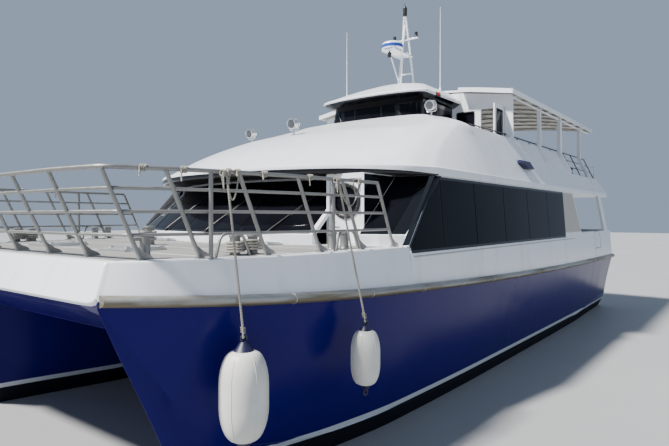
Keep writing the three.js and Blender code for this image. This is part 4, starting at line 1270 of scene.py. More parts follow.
lamps = bmesh.new()
lathe(lamps, (MAST_X, 0, 9.25), UP, LANTERN, 24)
for y in (-0.36, 0.36):
    lathe(lamps, (-0.97, y, SPREADER_Z), UP, MASTHEAD_LAMP, 24)
lathe(lamps, (-0.1, 0, 7.86), UP, LOWER_LAMP, 24)
for y in (-0.2, 0.2):
    cable = [(-1.0, y * 0.3, 8.6), (-1.05, y * 0.5, 8.3), (-1.08, y * 0.8, 7.7), (-1.12, y, 7.2),
             (-1.12, y, 7.08)]
    tube(lamps, cable, 0.007, 8)
finish_mesh("mast_lamps_and_cables", lamps, BLACK, "ship")

radome = bmesh.new()
lathe(radome, (RADAR_X, 0, 8.11), UP, RADAR_UNDER, 48)
lathe(radome, (RADAR_X, 0, 8.155), UP, [(0, 0.301), (0.09, 0.301)], 48, 1)
lathe(radome, (RADAR_X, 0, 8.245), UP, RADAR_TOP, 48)
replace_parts(finish_mesh("radome_cover", radome, [WHITE, BLUE_BAND], "ship"), "radome")
print("the radar cover is", 2 * RADAR_UNDER[-1][1], "m across")

# %% [markdown]
# The bow rail is the nearest thing to the camera. Its stanchions lean out ahead of their feet, which leaves
# room to stand close under the top bar, and each foot has a bolted plate. All of it is round tube, with a
# thicker top rail that follows the heads of the stanchions round both bows. On each side two upright posts,
# each with a hoop behind it, stand where the fender lines are made fast.

# %% Bow rail
RAIL_RAKE, RAIL_HEIGHT, RAIL_INSET, FOOT_UP = 0.46, 1.01, 0.26, 0.014
BARS = [(1.0, 0.026), (0.78, 0.02), (0.53, 0.02), (0.27, 0.02)]  # height as a part of the rail's, and radius
UPRIGHTS = [(8.95, 8.15, 9.0), (7.0, 6.35, 7.25)]  # its place, and the stanchions behind and ahead
GUSSET = [(0, -0.17, 0), (0, -0.13, 0.04), (0.05, -0.08, 0.02), (0.16, -0.01, 0), (0, 0, 0)]
FEET = [(x, deck_half(x) - RAIL_INSET) for x in (5.45, 6.35, 7.25, 8.15, 9.0, 9.6)]
FEET += [(9.7, 1.9), (9.7, 0.95), (9.7, 0)]
FEET += [(x, -y) for x, y in FEET[-2::-1]]


def up_rail(foot, part):
    height = FOOT_UP + part * (RAIL_HEIGHT - FOOT_UP)
    return Vector((foot[0] + part * RAIL_RAKE, foot[1], FOREDECK_TOP + height))


rail = bmesh.new()
for foot in FEET:
    tube(rail, [up_rail(foot, 0), up_rail(foot, 0.985)], 0.025, 14)
    gusset = [up_rail(foot, part) + Vector((ahead, 0.004, up)) for part, ahead, up in GUSSET]
    plate(rail, gusset, (0, -0.008, 0))
    plate_top = FOREDECK_TOP + 0.012
    block(rail, (foot[0] - 0.045, foot[1] - 0.045, FOREDECK_TOP),
          (foot[0] + 0.045, foot[1] + 0.045, plate_top), 0.004)
    along = up_rail(foot, 1) - up_rail(foot, 0)
    lathe(rail, up_rail(foot, 0.0), along, [(0, 0.034), (0.02, 0.028), (0.04, 0.02)], 14)
    for dx in (-0.03, 0.03):
        for dy in (-0.03, 0.03):
            lathe(rail, (foot[0] + dx, foot[1] + dy, plate_top), UP, [(0, 0.008), (0.006, 0.007)], 8)
for part, radius in BARS:
    tube(rail, rounded_path([up_rail(foot, part) for foot in FEET], 0.12), radius, 14)
for x, before, after in UPRIGHTS:
    part = (x - before - RAIL_RAKE) / (after - before)
    half = mix(deck_half(before) - RAIL_INSET, deck_half(after) - RAIL_INSET, part)
    for side in SIDES.values():
        tube(rail, [(x, side * half, FOREDECK_TOP), (x, side * half, FOREDECK_TOP + RAIL_HEIGHT)], 0.026, 14)
        lathe(rail, (x, side * half, FOREDECK_TOP), UP, [(0, 0.036), (0.01, 0.036), (0.02, 0.028)], 18)
        hoop = [(x - 0.62, FOREDECK_TOP), (x - 0.5, FOREDECK_TOP + 0.28), (x - 0.16, FOREDECK_TOP + 0.28),
                (x - 0.08, FOREDECK_TOP)]
        tube(rail, rounded_path([(px, side * (half - 0.012), pz) for px, pz in hoop], 0.1), 0.018, 12)
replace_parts(finish_mesh("bow_rail_tubes", rail, RAIL_ALLOY, "ship"), "bow_rail")
print("stanchions", len(FEET))

# %% [markdown]
# Lines are kept ready on the top rail: a few turns round the bar with the tail hanging, and by the fenders
# some loose loops. A turn is a small helix round the rail, and a loop hangs from two places in a parabola.

# %% Knots of line on the rail
LINE_R, WRAP_R, WRAP_PITCH = 0.009, 0.033, 0.019


def rail_turns(mesh_data, center, along, radius, turns, pitch, tail):
    """Turns of line round a bar, from a place on it, with a tail hanging from the last turn."""
    along = Vector(along).normalized()
    side = along.orthogonal().normalized()
    up = along.cross(side)
    path = []
    for index in range(turns * 14 + 1):
        t = 2 * math.pi * index / 14
        ahead = Vector(center) + along * (pitch * index / 14)
        path.append(ahead + radius * (math.cos(t) * side + math.sin(t) * up))
    drop = [path[-1] + Vector((0.004 * i, 0.006 * i, -tail * i / 6)) for i in range(1, 7)]
    tube(mesh_data, path + drop, LINE_R, 8)


TURNS = [  # the stanchion behind and the one ahead, the part of the way between them, and the tail's length
    (3, 4, 0.72, 0.16), (2, 3, 0.55, 0.1), (4, 5, 0.3, 0.12), (1, 2, 0.7, 0.14),
]
knots = bmesh.new()
for side in SIDES.values():
    for before, after, part, tail in TURNS:
        foot_a, foot_b = FEET[before], FEET[after]
        start = up_rail((foot_a[0], side * foot_a[1]), 1)
        end = up_rail((foot_b[0], side * foot_b[1]), 1)
        rail_turns(knots, start.lerp(end, part), end - start, WRAP_R, 4, WRAP_PITCH, tail)
TOP_RAIL_Z = FOREDECK_TOP + RAIL_HEIGHT
BIGHTS = [  # where a loop leaves the port rail, where it comes back to it, and how far it hangs
    ((8.79, 3.33), (8.62, 3.36), 0.33), ((8.86, 3.32), (8.74, 3.34), 0.24),
    ((6.95, 3.57), (6.42, 3.58), 0.37), ((6.6, 3.57), (6.46, 3.58), 0.2),
]
for start, end, sag in BIGHTS:
    start, end = Vector((*start, TOP_RAIL_Z)), Vector((*end, TOP_RAIL_Z))
    hanging = [start.lerp(end, s) - Vector((0, 0, 4 * sag * s * (1 - s))) for s in steps(0, 1, 18)]
    tube(knots, hanging, LINE_R, 8)
    rail_turns(knots, end, (1, 0, 0), WRAP_R, 3, WRAP_PITCH, 0.08)
finish_mesh("rail_lines", knots, ROPE, "ship")
print("turns of line", 2 * len(TURNS), "and loops", len(BIGHTS))

# %% [markdown]
# Turns of mooring line lie in a figure of eight round a pair of posts on each side. A path that crosses
# itself once a turn, and climbs a little each time, gives them.

# %% Mooring turns
EIGHTS, POINTS_EACH, CLIMB = 4, 24, 0.035
turns = bmesh.new()
for side in SIDES.values():
    path = []
    for index in range(EIGHTS * POINTS_EACH + 1):
        t = 2 * math.pi * index / POINTS_EACH
        x = PAIR_X + 0.235 * math.sin(t)
        y = side * PAIR_Y + 0.115 * math.sin(2 * t)
        z = FOREDECK_TOP + 0.05 + CLIMB * index / POINTS_EACH + 0.01 * math.sin(2 * t + 0.5)
        path.append(Vector((x, y, z)))
    tube(turns, path, 0.015, 8)
finish_mesh("mooring_turns", turns, ROPE, "ship")
print("figures of eight each side", EIGHTS)

# %% [markdown]
# The hand rails above the coaming are black tube on short posts, dropping at the after end to follow the
# lower coaming. They are round here, with a collar where each post meets the coaming.

# %% Upper rails
COAMING_TOP, COAMING_LOW, RAIL_Y, RAIL_TOP = 5.48, 4.82, 2.975, 5.56
LOW_Y, LOW_FRONT = 3.325, -6.25  # where the lower coaming's top is, and where it starts
for side_name, side in SIDES.items():
    hand_rail = bmesh.new()
    tube(hand_rail, [(-9.16, side * RAIL_Y, RAIL_TOP), (-1.32, side * RAIL_Y, RAIL_TOP)], 0.019, 14)
    for x in (-1.9, -2.9, -3.9, -4.9):
        tube(hand_rail, [(x, side * RAIL_Y, COAMING_TOP - 0.01), (x, side * RAIL_Y, RAIL_TOP)], 0.014, 12)
        lathe(hand_rail, (x, side * RAIL_Y, COAMING_TOP), UP, [(0, 0.03), (0.01, 0.028), (0.015, 0.018)], 14)
    for index in range(4):
        x = LOW_FRONT - 0.95 * index
        foot = Vector((x, side * LOW_Y, COAMING_LOW))
        head = Vector((x, side * RAIL_Y, RAIL_TOP))
        tube(hand_rail, [foot, head], 0.016, 12)
        lathe(hand_rail, foot, head - foot, [(0, 0.034), (0.012, 0.03), (0.018, 0.02)], 14)
    for part in (0.33, 0.66):
        y, z = mix(LOW_Y, RAIL_Y, part), mix(COAMING_LOW, RAIL_TOP, part)
        tube(hand_rail, [(-9.1, side * y, z), (LOW_FRONT, side * y, z)], 0.013, 12)
    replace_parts(finish_mesh(f"upper_rail_tubes_{side_name}", hand_rail, BLACK, "ship"),
                f"upper_rail_{side_name}")
print("upper rails at", RAIL_TOP, "m above the waterline")

# %% [markdown]
# Two fenders hang over the port bow from lines made fast to the rail. Each is a vinyl bag with long round
# shoulders and six moulded seams. Its ends are dark blue cones with an eye, and the line goes through the
# upper eye and is tied off above it.

# %% Fenders
CAP_SHARE, SHOULDER_REACH, SEAMS, EYE_R = 0.42, 1.4, 6, 0.04


def fender(label, x, y, low, high, radius, top):
    """A fender that hangs between two heights, and its line up to a place on the rail."""
    body = bmesh.new()
    span = high - low
    cap = radius * CAP_SHARE
    bulge = [(0, 0.03), (cap * 0.3, radius * 0.2), (cap, radius * CAP_SHARE)]
    shoulder = [(cap + radius * SHOULDER_REACH * (1 - math.cos(t)), radius * (CAP_SHARE + 0.58 * math.sin(t)))
                for t in degrees(8, 18, 28, 38, 50, 62, 76, 90)]
    lower = bulge + shoulder
    profile = lower + [(span - distance, r) for distance, r in reversed(lower)]
    lathe(body, (x, y, low), UP, profile, 48)
    for face in body.faces:
        z = face.calc_center_median().z
        face.material_index = 1 if z < low + cap or z > high - cap else 0
    for t in angles(SEAMS, 0.3):
        seam = [(x + r * math.cos(t), y + r * math.sin(t), low + distance) for distance, r in profile[4:-4]]
        tube(body, seam, 0.004, 8)
    for z in (low + 0.05, high - 0.05):
        lathe(body, (x, y, z - 0.035), UP, [(0, 0.03), (0.02, 0.05), (0.05, 0.05), (0.07, 0.03)], 24, 1)
    for z, sign in ((low, -1), (high, 1)):
        middle = z + sign * 0.02
        eye = [(x + EYE_R * math.cos(t), y, middle + EYE_R * math.sin(t)) for t in angles(20) + [2 * math.pi]]
        tube(body, eye, 0.016, 10, 1)
    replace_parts(finish_mesh(f"{label}_body", body, [VINYL, BLUE_VINYL], "ship"), label)
    line = bmesh.new()
    anchor = Vector(top)
    eye_top = Vector((x, y, high + 0.03))
    tube(line, [eye_top.lerp(anchor, part) for part in steps(0, 1, 9)], 0.014, 12)
    along = (anchor - eye_top).normalized()
    rail_turns(line, eye_top + along * 0.05, along, 0.022, 3, 0.024, 0.12)
    rail_turns(line, anchor - along * 0.02, (1, 0.2, 0), 0.034, 4, 0.024, 0.2)
    finish_mesh(f"{label}_line", line, ROPE, "ship")


fender("fender_fwd", 8.79, 3.62, low=0.75, high=2.0, radius=0.28, top=(8.79, 3.334, TOP_RAIL_Z))
fender("fender_mid", 6.95, 4.03, low=1.05, high=1.95, radius=0.2, top=(6.95, 3.56, TOP_RAIL_Z))
print("fenders, each with seams", SEAMS)

# %% [markdown]
# Seats are moulded shells on an alloy frame, one after another along each row. A shell is a grid of points
# bent by a profile: the pan curls up at its front edge and runs into the back with a round corner.

# %% Seats
SEAT_PROFILE = [  # ahead of the row's place, above the deck
    (0.47, 0.405), (0.45, 0.445), (0.40, 0.462), (0.30, 0.452), (0.18, 0.445), (0.09, 0.452), (0.045, 0.49),
    (0.03, 0.6), (0.012, 0.75), (-0.015, 0.9), (-0.03, 0.955),
]
SHELL_THICK, SEAT_GAP, DISH, PAN_POINTS = 0.022, 0.012, 0.025, 6
FRAME_TOP, FRAME_R = 0.42, 0.022
MAIN_DECK = 2.3


def seat_shell(mesh_data, x, y0, y1, deck):
    """One moulded seat: the profile carried across, dished in the middle, with a thickness."""
    rings = []
    for part in steps(0, 1, 9):
        y = mix(y0 + SEAT_GAP, y1 - SEAT_GAP, part)
        dish = DISH * (1 - math.sin(math.pi * part) ** 0.5)
        front, back = [], []
        for index, (ahead, up) in enumerate(SEAT_PROFILE):
            in_pan = index < PAN_POINTS
            place = Vector((x + ahead + (0 if in_pan else dish), y, deck + up + (dish if in_pan else 0)))
            behind = 0 if in_pan else SHELL_THICK
            under = SHELL_THICK if index <= PAN_POINTS else 0
            front.append(place)
            back.append(Vector((place.x - behind, y, place.z - under)))
        rings.append(front + back[::-1])
    skin(mesh_data, rings)


def seat_rows(label, rows, deck, y0, y1, count):
    """Rows of a number of seats side by side, from y0 to y1 across, on a frame with feet."""
    shells, frames = bmesh.new(), bmesh.new()
    width = (y1 - y0) / count
    for x in rows:
        for seat in range(count):
            seat_shell(shells, x, y0 + seat * width, y0 + (seat + 1) * width, deck)
        for y in (y0 + 0.3, y1 - 0.3):
            for low_x, high_x in ((0.06, 0.1), (0.36, 0.32)):
                tube(frames, [(x + low_x, y, deck + 0.01), (x + high_x, y, deck + FRAME_TOP)], FRAME_R, 12)
            block(frames, (x, y - 0.05, deck), (x + 0.42, y + 0.05, deck + 0.012), 0.004)
        for ahead in (0.1, 0.32):
            tube(frames, [(x + ahead, y, deck + 0.415) for y in (y0 + 0.03, y1 - 0.03)], 0.016, 12)
    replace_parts(finish_mesh(f"{label}_shells", shells, SEAT_SHELL, "ship"), label)
    finish_mesh(f"{label}_frames", frames, ALLOY, "ship")


CABIN_ROWS = [3.6 - 0.975 * row for row in range(9)]
PORT_BENCHES, STARBOARD_BENCHES = [-2.7 - row for row in range(7)], [-2.7 - row for row in range(4)]
seat_rows("cabin_seats_port", CABIN_ROWS, MAIN_DECK, 0.75, 3.25, count=5)
seat_rows("cabin_seats_starboard", CABIN_ROWS, MAIN_DECK, -3.25, -0.75, count=5)
seat_rows("bench_port", PORT_BENCHES, UPPER_DECK, 0.5, 2.7, count=4)
seat_rows("bench_starboard", STARBOARD_BENCHES, UPPER_DECK, -2.7, -0.5, count=4)
print("rows of seats", 2 * len(CABIN_ROWS) + len(PORT_BENCHES) + len(STARBOARD_BENCHES))

# %% [markdown]
# Under the stern each bronze propeller has four blades with real pitch: a blade turns flatter towards its
# tip. Each propeller rides on its own body.

# %% Propellers
PROPELLER_X, SHAFT_Z, ROOT, TIP, BLADES = -8.7, -0.86, 0.06, 0.3, 4
HUB_PROFILE = [(0, 0.075), (0.02, 0.085), (0.14, 0.085), (0.19, 0.07), (0.225, 0.045), (0.24, 0.01)]
BLADE_SECTION = [  # along the chord, and out from its middle
    (-0.5, 0), (-0.3, 0.8), (0, 1), (0.3, 0.7), (0.5, 0), (0.3, -0.3), (0, -0.4), (-0.3, -0.35),
]
for side_name, side in SIDES.items():
    screw = bmesh.new()
    lathe(screw, (PROPELLER_X + 0.12, side * HULL_Y, SHAFT_Z), (-1, 0, 0), HUB_PROFILE, 32)
    for blade in range(BLADES):
        rings = []
        for radius in steps(ROOT, TIP * 0.995, 12):
            part = (radius - ROOT) / (TIP - ROOT)
            chord = 0.2 * math.sin(math.pi * min(0.97, 0.3 + 0.66 * part)) ** 0.6 + 0.012
            pitch = math.atan2(0.075, radius)
            thick = 0.016 * (1 - part) + 0.004
            outline = []
            for along, out in BLADE_SECTION:
                sweep = chord * along
                height = thick * out * 0.5
                skew = sweep * math.cos(pitch) / max(radius, 0.05) + 0.35 * part ** 2
                turn = blade * math.pi / 2 + side * skew
                x = PROPELLER_X + sweep * math.sin(pitch) + height * math.cos(pitch) * 0.9
                y = side * HULL_Y + radius * math.cos(turn)
                outline.append(Vector((x, y, SHAFT_Z + radius * math.sin(turn))))
            rings.append(outline)
        skin(screw, rings)
    body = f"propeller_{side_name}"
    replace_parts(finish_mesh(f"propeller_bronze_{side_name}", screw, BRONZE, body), body)
print("propellers", len(SIDES), "with blades", BLADES)

# %% [markdown]
# Gaskets, frames and small things. Every opening in a white wall is lined with a black rubber section, and
# the doors have frames, dark panes, handles and hinges. Each of these rides on the wall or the leaf that
# carries it.

# %% Window and door trim
def gasket(mesh_data, corners, outward, width=0.022, depth=0.012):
    """A rounded rubber frame round an opening: a square section carried round its corners."""
    points = [Vector(corner) for corner in corners]
    outward = Vector(outward).normalized() * depth
    middle = sum(points, Vector()) / len(points)
    loops = []
    for point in points:
        inward = (middle - point).normalized() * width
        outer, inner = point - inward * 0.4, point + inward
        ring = (outer, outer + outward, inner + outward, inner)
        loops.append([mesh_data.verts.new(place) for place in ring])
    loops.append(loops[0])
    for first, second in zip(loops, loops[1:]):
        for index in range(4):
            after = (index + 1) % 4
            mesh_data.faces.new((first[index], first[after], second[after], second[index]))


def softened(corners, radius=0.06, count=4):
    """An opening's corners, rounded."""
    points = [Vector(corner) for corner in corners]
    rounded = []
    for index, corner in enumerate(points):
        before, after = points[index - 1], points[(index + 1) % len(points)]
        start = corner + (before - corner).normalized() * radius
        end = corner + (after - corner).normalized() * radius
        for step in range(count + 1):
            part = step / count
            rounded.append(start.lerp(corner, part).lerp(corner.lerp(end, part), part))
    return rounded


def x_window(y0, y1, z0, z1, x):
    return [(x, y0, z0), (x, y1, z0), (x, y1, z1), (x, y0, z1)]


AFTWARDS = (-1, 0, 0)
HINGE = [(0, 0.012), (0.1, 0.012)]
WALL_WINDOW, LEAF_WINDOW = (3.15, 3.95), (3.1, 3.88)  # foot and head of each
aft_gaskets, aft_glass = bmesh.new(), bmesh.new()
for side in SIDES.values():
    y0, y1 = sorted((side * 1.25, side * 2.95))
    gasket(aft_gaskets, softened(x_window(y0, y1, *WALL_WINDOW, -5.01)), AFTWARDS)
    plate(aft_glass, x_window(y0, y1, *WALL_WINDOW, -4.985), (0.01, 0, 0))
finish_mesh("aft_wall_gaskets", aft_gaskets, RUBBER, "ship")
finish_mesh("aft_wall_panes", aft_glass, GLASS, "ship")
for side_name, side in SIDES.items():
    trim, pane, metal = bmesh.new(), bmesh.new(), bmesh.new()
    y0, y1 = sorted((side * 0.2, side * 0.7))
    gasket(trim, softened(x_window(y0, y1, *LEAF_WINDOW, -5.0)), AFTWARDS)
    plate(pane, x_window(y0, y1, *LEAF_WINDOW, -4.984), (0.008, 0, 0))
    lever_handle(metal, (-5.0, side * 0.09, 3.2), AFTWARDS, (0, side, 0))
    for z in (2.6, 3.7):
        lathe(metal, (-4.98, side * 0.895, z), UP, HINGE, 12)
    block(metal, (-5.006, y0 - 0.05, 2.4), (-4.999, y1 + 0.05, 2.62), 0.003)
    leaf = f"aft_door_{side_name}"
    finish_mesh(f"aft_door_gasket_{side_name}", trim, RUBBER, leaf)
    finish_mesh(f"aft_door_pane_{side_name}", pane, GLASS, leaf)
    finish_mesh(f"aft_door_metal_{side_name}", metal, STAINLESS, leaf)
print("windows aft", 2 * len(SIDES))

# %% [markdown]
# The bulkhead behind the wheelhouse has two windows and three doors. The port door stands open along the
# deck, as it does in the photograph, so its trim faces the side instead of aft.

# %% Bulkhead doors
BULKHEAD_WINDOW = (5.3, 6.3)
DOOR_LOW, DOOR_HIGH = 5.35, 6.2
gaskets, panes = bmesh.new(), bmesh.new()
for side in SIDES.values():
    y0, y1 = sorted((side * 1.52, side * 2.05))
    for x, out in ((-1.26, -1), (-1.2, 1)):
        gasket(gaskets, softened(x_window(y0, y1, *BULKHEAD_WINDOW, x)), (out, 0, 0))
    plate(panes, x_window(y0, y1, *BULKHEAD_WINDOW, -1.235), (0.01, 0, 0))
finish_mesh("bulkhead_gaskets", gaskets, RUBBER, "ship")
finish_mesh("bulkhead_panes", panes, GLASS, "ship")


def door_dressing(label, corners, through, outward, handle_at, lever):
    """Gaskets on both faces of a door leaf, its pane, and a lever handle on each face."""
    trim, pane, metal = bmesh.new(), bmesh.new(), bmesh.new()
    outward, through = Vector(outward), Vector(through)
    near = [Vector(corner) for corner in corners]
    far = [corner + through for corner in near]
    gasket(trim, softened(near, 0.05), outward)
    gasket(trim, softened(far, 0.05), -outward)
    plate(pane, [corner + through * 0.4 for corner in near], through * 0.2)
    lever_handle(metal, handle_at, outward, lever)
    lever_handle(metal, Vector(handle_at) + through, -outward, lever)
    finish_mesh(f"{label}_gaskets", trim, RUBBER, label)
    finish_mesh(f"{label}_pane", pane, GLASS, label)
    finish_mesh(f"{label}_handles", metal, STAINLESS, label)


open_door = [(-1.08, 2.875, DOOR_LOW), (-0.66, 2.875, DOOR_LOW), (-0.66, 2.875, DOOR_HIGH),
             (-1.08, 2.875, DOOR_HIGH)]
shut_door = x_window(-2.765, -2.345, DOOR_LOW, DOOR_HIGH, -1.23)
middle_door = x_window(-0.25, 0.25, DOOR_LOW, 6.15, -1.255)
door_dressing("bridge_door_port", open_door, (0, -0.04, 0), (0, 1, 0), (-0.6, 2.875, 5.3), (-1, 0, 0))
door_dressing("bridge_door_starboard", shut_door, (0.04, 0, 0), AFTWARDS, (-1.23, -2.29, 5.3), (0, -1, 0))
door_dressing("wheelhouse_door", middle_door, (0.04, 0, 0), AFTWARDS, (-1.255, -0.33, 5.25), (0, 1, 0))
print("doors in the bulkhead", 3)

# %% [markdown]
# The gates in the bulwark get a lever and hinges. The pillar ahead of the side glass is black, so that the
# glass seems to run round the corner, and the one behind it is warm grey. A moulding runs along under the
# glass.

# %% Side details
CAPPING_Z, CAPPING_RUNS = 2.905, [(-9.85, -8.31), (-7.44, -5.78)]
FACINGS = [  # name, outline, thickness, material and slot
    ("front_pillar_facing", [(5.25, 2.94), (5.46, 2.94), (4.36, 4.13), (4.16, 4.13)], 0.006, FRIT,
     "black_trim"),
    ("after_pillar_facing", [(-3.93, 2.94), (-5.68, 2.94), (-4.97, 4.12), (-3.93, 4.12)], 0.005, WARM_GREY,
     "white_paint"),
]
for side_name, side in SIDES.items():
    metal = bmesh.new()
    lever_handle(metal, on_side(-8.2, 2.75, side, -0.015), (0, side, 0), (1, 0, 0))
    for z in (2.42, 2.78):
        lathe(metal, on_side(-7.46, z, side, -0.012), UP, [(0, 0.012), (0.09, 0.012)], 12)
    finish_mesh(f"gate_hardware_{side_name}", metal, STAINLESS, f"gate_{side_name}")

    rub = bmesh.new()
    tube(rub, [on_side(x, 2.74, side, 0.003) for x in steps(-4.9, 5.1, 24)], 0.014, 10)
    for start, end in CAPPING_RUNS:
        tube(rub, [on_side(x, CAPPING_Z, side, -0.035) for x in steps(start, end, 6)], 0.022, 12)
    finish_mesh(f"bulwark_capping_{side_name}", rub, ALLOY, "ship")

    for label, corners, thick, material, slot in FACINGS:
        pillar = bmesh.new()
        plate(pillar, [on_side(x, z, side, 0.0008) for x, z in corners], (0, side * thick, 0))
        finish_mesh(f"{label}_{side_name}", pillar, material, "ship")
print("facings each side", len(FACINGS))

# %% [markdown]
# The air intakes in the coaming are dark blue scoops with louvres, and the edge of the wheelhouse roof
# carries a running light on each side: red to port, green to starboard.

# %% Intakes and running lights
SCOOP = [(-0.7, 4.76), (-0.85, 4.85), (-1.45, 4.85), (-1.5, 4.64), (-0.95, 4.62)]
SCOOP_X, SCOOP_Z = -1.12, 4.74
SCOOP_RINGS = [(1.0, 0.001), (1.0, 0.03), (0.96, 0.1), (0.85, 0.135), (0.6, 0.14)]  # size, and how far out
LOUVRES, LOUVRE_LOW, LOUVRE_PITCH, LOUVRE_HALF = 5, 4.66, 0.035, 0.012
COAMING_Y, COAMING_LEAN = 3.65, 0.534
LENS_PROFILE = [(0, 0.02), (0.004, 0.035), (0.07, 0.035), (0.075, 0.02)]
LENSES = {"port": RED_LENS, "starboard": GREEN_LENS}


def coaming_face(z):
    return COAMING_Y - COAMING_LEAN * (z - UPPER_DECK)


def scoop_ring(side, size, proud):
    """The scoop's outline at a size, as far out from the coaming as asked."""
    places = [(mix(SCOOP_X, x, size), mix(SCOOP_Z, z, size)) for x, z in SCOOP]
    return [Vector((x, side * (coaming_face(z) + proud), z)) for x, z in places]


for side_name, side in SIDES.items():
    scoop = bmesh.new()
    skin(scoop, [scoop_ring(side, size, proud) for size, proud in SCOOP_RINGS])
    for index in range(LOUVRES):
        z = LOUVRE_LOW + LOUVRE_PITCH * index
        middle = side * (coaming_face(z) + 0.11)
        block(scoop, (-1.42, middle - LOUVRE_HALF, z), (-0.86, middle + LOUVRE_HALF, z + 0.012), 0.004)
    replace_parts(finish_mesh(f"vent_scoop_{side_name}", scoop, BLUE_VINYL, "ship"),
                f"vent_{side_name}")

    board = bmesh.new()
    block(board, (0.02, side * 1.64 - 0.012, 6.53), (0.26, side * 1.64 + 0.006, 6.63), 0.004)
    finish_mesh(f"running_light_board_{side_name}", board, BLACK, "ship")
    lens = bmesh.new()
    lathe(lens, (0.2, side * 1.67, 6.54), UP, LENS_PROFILE, 20)
    finish_mesh(f"running_light_{side_name}", lens, LENSES[side_name], "ship")
print("louvres in each scoop", LOUVRES)

# %% [markdown]
# The stairs get round hand rails and gritty tread plates, the after deck a gritty floor, and the upper deck
# the same. The floors are thin sheets let down on the slabs, a few millimetres proud.

# %% Stairs and floors
TREADS, GRIT_UP = 8, 0.004
STAIR_RAIL = [(-8.6, 2.32), (-8.6, 3.2), (-7.4, 4.72), (-7.0, 5.2), (-6.85, 5.2), (-6.85, 4.31)]
hand_rails = bmesh.new()
for y in (-1.48, -0.72):
    tube(hand_rails, rounded_path([(x, y, z) for x, z in STAIR_RAIL], 0.12), 0.019, 12)
    for x, low, high in ((-8.02, 3.0, 3.94), (-7.4, 3.75, 4.72)):
        tube(hand_rails, [(x, y, low), (x, y, high)], 0.015, 10)
finish_mesh("stair_hand_rails", hand_rails, STAINLESS, "ship")

treads = bmesh.new()
for step in range(1, TREADS + 1):
    part = step / (TREADS + 1)
    x, z = -8.49 + part * 1.58, MAIN_DECK + part * 1.99
    block(treads, (x - 0.13, -1.45, z + 0.018), (x + 0.13, -0.75, z + 0.026), 0.002)
finish_mesh("stair_treads", treads, TREAD, "ship")

floors = bmesh.new()
for x0, x1 in ((-9.88, -5.06), (-4.94, 4.9)):
    block(floors, (x0, -3.6, MAIN_DECK), (x1, 3.6, MAIN_DECK + GRIT_UP))
finish_mesh("main_deck_grit", floors, DECK, "ship")
upper_floor = bmesh.new()
for x0, x1, y0, y1 in ((-9.5, -8.66, -3.0, 3.0), (-8.66, -6.64, -3.0, -1.6), (-8.66, -6.64, -0.6, 3.0),
                       (-6.64, -1.3, -3.0, 3.0)):
    block(upper_floor, (x0, y0, UPPER_DECK), (x1, y1, UPPER_DECK + GRIT_UP))
finish_mesh("upper_deck_grit", upper_floor, DECK, "ship")
print("treads", TREADS)

# %% [markdown]
# The edge of the upper deck is a long white moulding that runs from one quarter round the nose to the
# other. It is a small rounded profile carried along the same smooth outline as the front above it, over the
# flat slab. Round the nose the lower half of its face is painted black as shade, like the black sheet of
# painted shade behind it, which makes the edge look thin.

# %% Upper deck edge
lip_outline = nosed(3.66, 6.15, LIP_SET_BACK, -9.6, 0)
LIP_SHADE_TOP = 4.24
LIP_PROFILE = [  # out from the outline, and height
    (-0.03, 4.1485), (0.0, 4.1485), (0.01, 4.156), (0.013, 4.17), (0.013, LIP_SHADE_TOP), (0.013, 4.275),
    (0.009, 4.292), (-0.003, 4.3015), (-0.03, 4.3015),
]
NOSE_START, NOSE_RAMP = 4.1, 1.4
edge = bmesh.new()
rings = []
for index, point in enumerate(lip_outline):
    before = lip_outline[max(0, index - 1)]
    after = lip_outline[min(len(lip_outline) - 1, index + 1)]
    along = (after - before).normalized()
    outward = Vector((along.y, -along.x, 0))
    if outward.dot(Vector((0.3, point.y, 0))) < 0:
        outward = -outward
    # the top of the black band of painted shade rises round the nose
    lip_shade_top = mix(4.171, LIP_SHADE_TOP, max(0, min(1, (point.x - NOSE_START) / NOSE_RAMP)))
    profile = [(out, lip_shade_top if z == LIP_SHADE_TOP else z) for out, z in LIP_PROFILE]
    rings.append([Vector((point.x, point.y, z)) + outward * out for out, z in profile])
skin(edge, rings)
edge.normal_update()
# round the nose the lower faces of the edge get the black slot: painted shade under the lip
for face in edge.faces:
    center = face.calc_center_median()
    face.material_index = 1 if center.z < 4.22 and center.x > NOSE_START else 0
finish_mesh("upper_deck_edge", edge, [WHITE, FRIT], "ship", math.radians(30))
print("sections along the edge", len(rings))

# %% [markdown]
# Small fittings dress the after deck, where the photograph shows nothing: cleats on the quarters, a capping
# rail on the transom, flush scuppers in the deck and a light facing aft.

# %% Cleats and stern fittings
def cleat(mesh_data, x, y, z, length=0.34):
    """Two feet and a bar with turned-up horns."""
    for ahead in (-0.06, 0.06):
        lathe(mesh_data, (x + ahead, y, z), UP, [(0, 0.04), (0.01, 0.035), (0.03, 0.02), (0.07, 0.02)], 14)
    horns = [(x - length / 2, y, z + 0.1), (x - length / 4, y, z + 0.075), (x + length / 4, y, z + 0.075),
             (x + length / 2, y, z + 0.1)]
    tube(mesh_data, rounded_path(horns, 0.06), 0.018, 12)


GRIT_TOP = MAIN_DECK + GRIT_UP
SCUPPERS = [(-9.0, 0.5), (-9.3, -1.2), (-6.2, 2.6)]
fittings = bmesh.new()
for side in SIDES.values():
    for x in (-9.5, -9.2):
        cleat(fittings, x, side * 3.45, GRIT_TOP)
tube(fittings, [(-9.96, -3.6, CAPPING_Z), (-9.96, 3.6, CAPPING_Z)], 0.024, 12)
for x, y in SCUPPERS:
    lathe(fittings, (x, y, GRIT_TOP), UP, [(0, 0.09), (0.003, 0.088), (0.005, 0.06), (0.007, 0.055)], 24)
finish_mesh("cleats_and_scuppers", fittings, ALLOY, "ship")

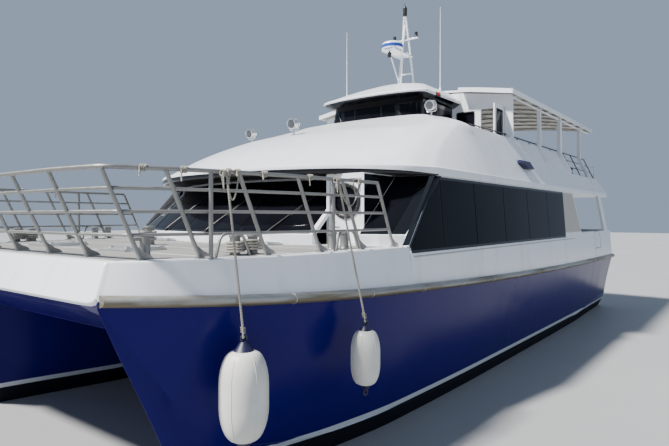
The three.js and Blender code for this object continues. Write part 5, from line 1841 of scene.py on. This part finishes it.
stern_light = bmesh.new()
block(stern_light, (-9.62, -0.05, 4.19), (-9.6, 0.05, 4.29), 0.004)
lathe(stern_light, (-9.61, 0, 4.24), (-1, 0, 0), [(0, 0.035), (0.03, 0.035), (0.045, 0.02), (0.05, 0)], 20)
finish_mesh("stern_light", stern_light, BLACK, "ship")
print("scuppers", len(SCUPPERS))

# %% [markdown]
# Inside the wheelhouse the console carries a wheel and two throttle levers. Little of it shows through the
# doorway, but an empty desk would be noticed there.

# %% Wheelhouse console
WHEEL, WHEEL_R, SPOKES = Vector((0.3, 0, 5.36)), 0.19, 3
console = bmesh.new()


def on_rim(t):
    return WHEEL + WHEEL_R * Vector((0.35 * math.sin(t), math.cos(t), 0.94 * math.sin(t)))


tube(console, [on_rim(t) for t in angles(36) + [2 * math.pi]], 0.013, 10)
for t in angles(SPOKES):
    tube(console, [WHEEL, on_rim(t + 0.5)], 0.008, 8)
lathe(console, WHEEL, (1, 0, -0.35), [(0, 0.03), (0.1, 0.022)], 16)
for y in (-0.36, -0.42):
    tube(console, [(0.45, y, 5.4), (0.4, y, 5.56)], 0.008, 8)
    lathe(console, (0.4, y, 5.55), UP, [(0, 0.01), (0.01, 0.018), (0.03, 0.018), (0.04, 0.008)], 12)
finish_mesh("helm_and_throttles", console, BLACK, "ship")
print("the wheel is", 2 * WHEEL_R, "m across")

# %% [markdown]
# The floor is the waterline plane.

# %% Floor
FLOOR = 120
floor_corners = [(-FLOOR, -FLOOR, 0), (FLOOR, -FLOOR, 0), (FLOOR, FLOOR, 0), (-FLOOR, FLOOR, 0)]
floor_mesh = bpy.data.meshes.new("floor")
floor_mesh.from_pydata(floor_corners, [], [(0, 1, 2, 3)])
floor = bpy.data.objects.new("floor", floor_mesh)
bpy.context.scene.collection.objects.link(floor)
floor_paint, floor_tree, floor_shader = plain("grey_floor", (0.3, 0.31, 0.32), 0.6)
cloud = noise(floor_tree, object_place(floor_tree), 0.25, 4)
floor_tree.links.new(
    mix_color(floor_tree, cloud, (0.27, 0.28, 0.29, 1), (0.33, 0.34, 0.35, 1)),
    floor_shader.inputs["Base Color"])
floor_mesh.materials.append(floor_paint)
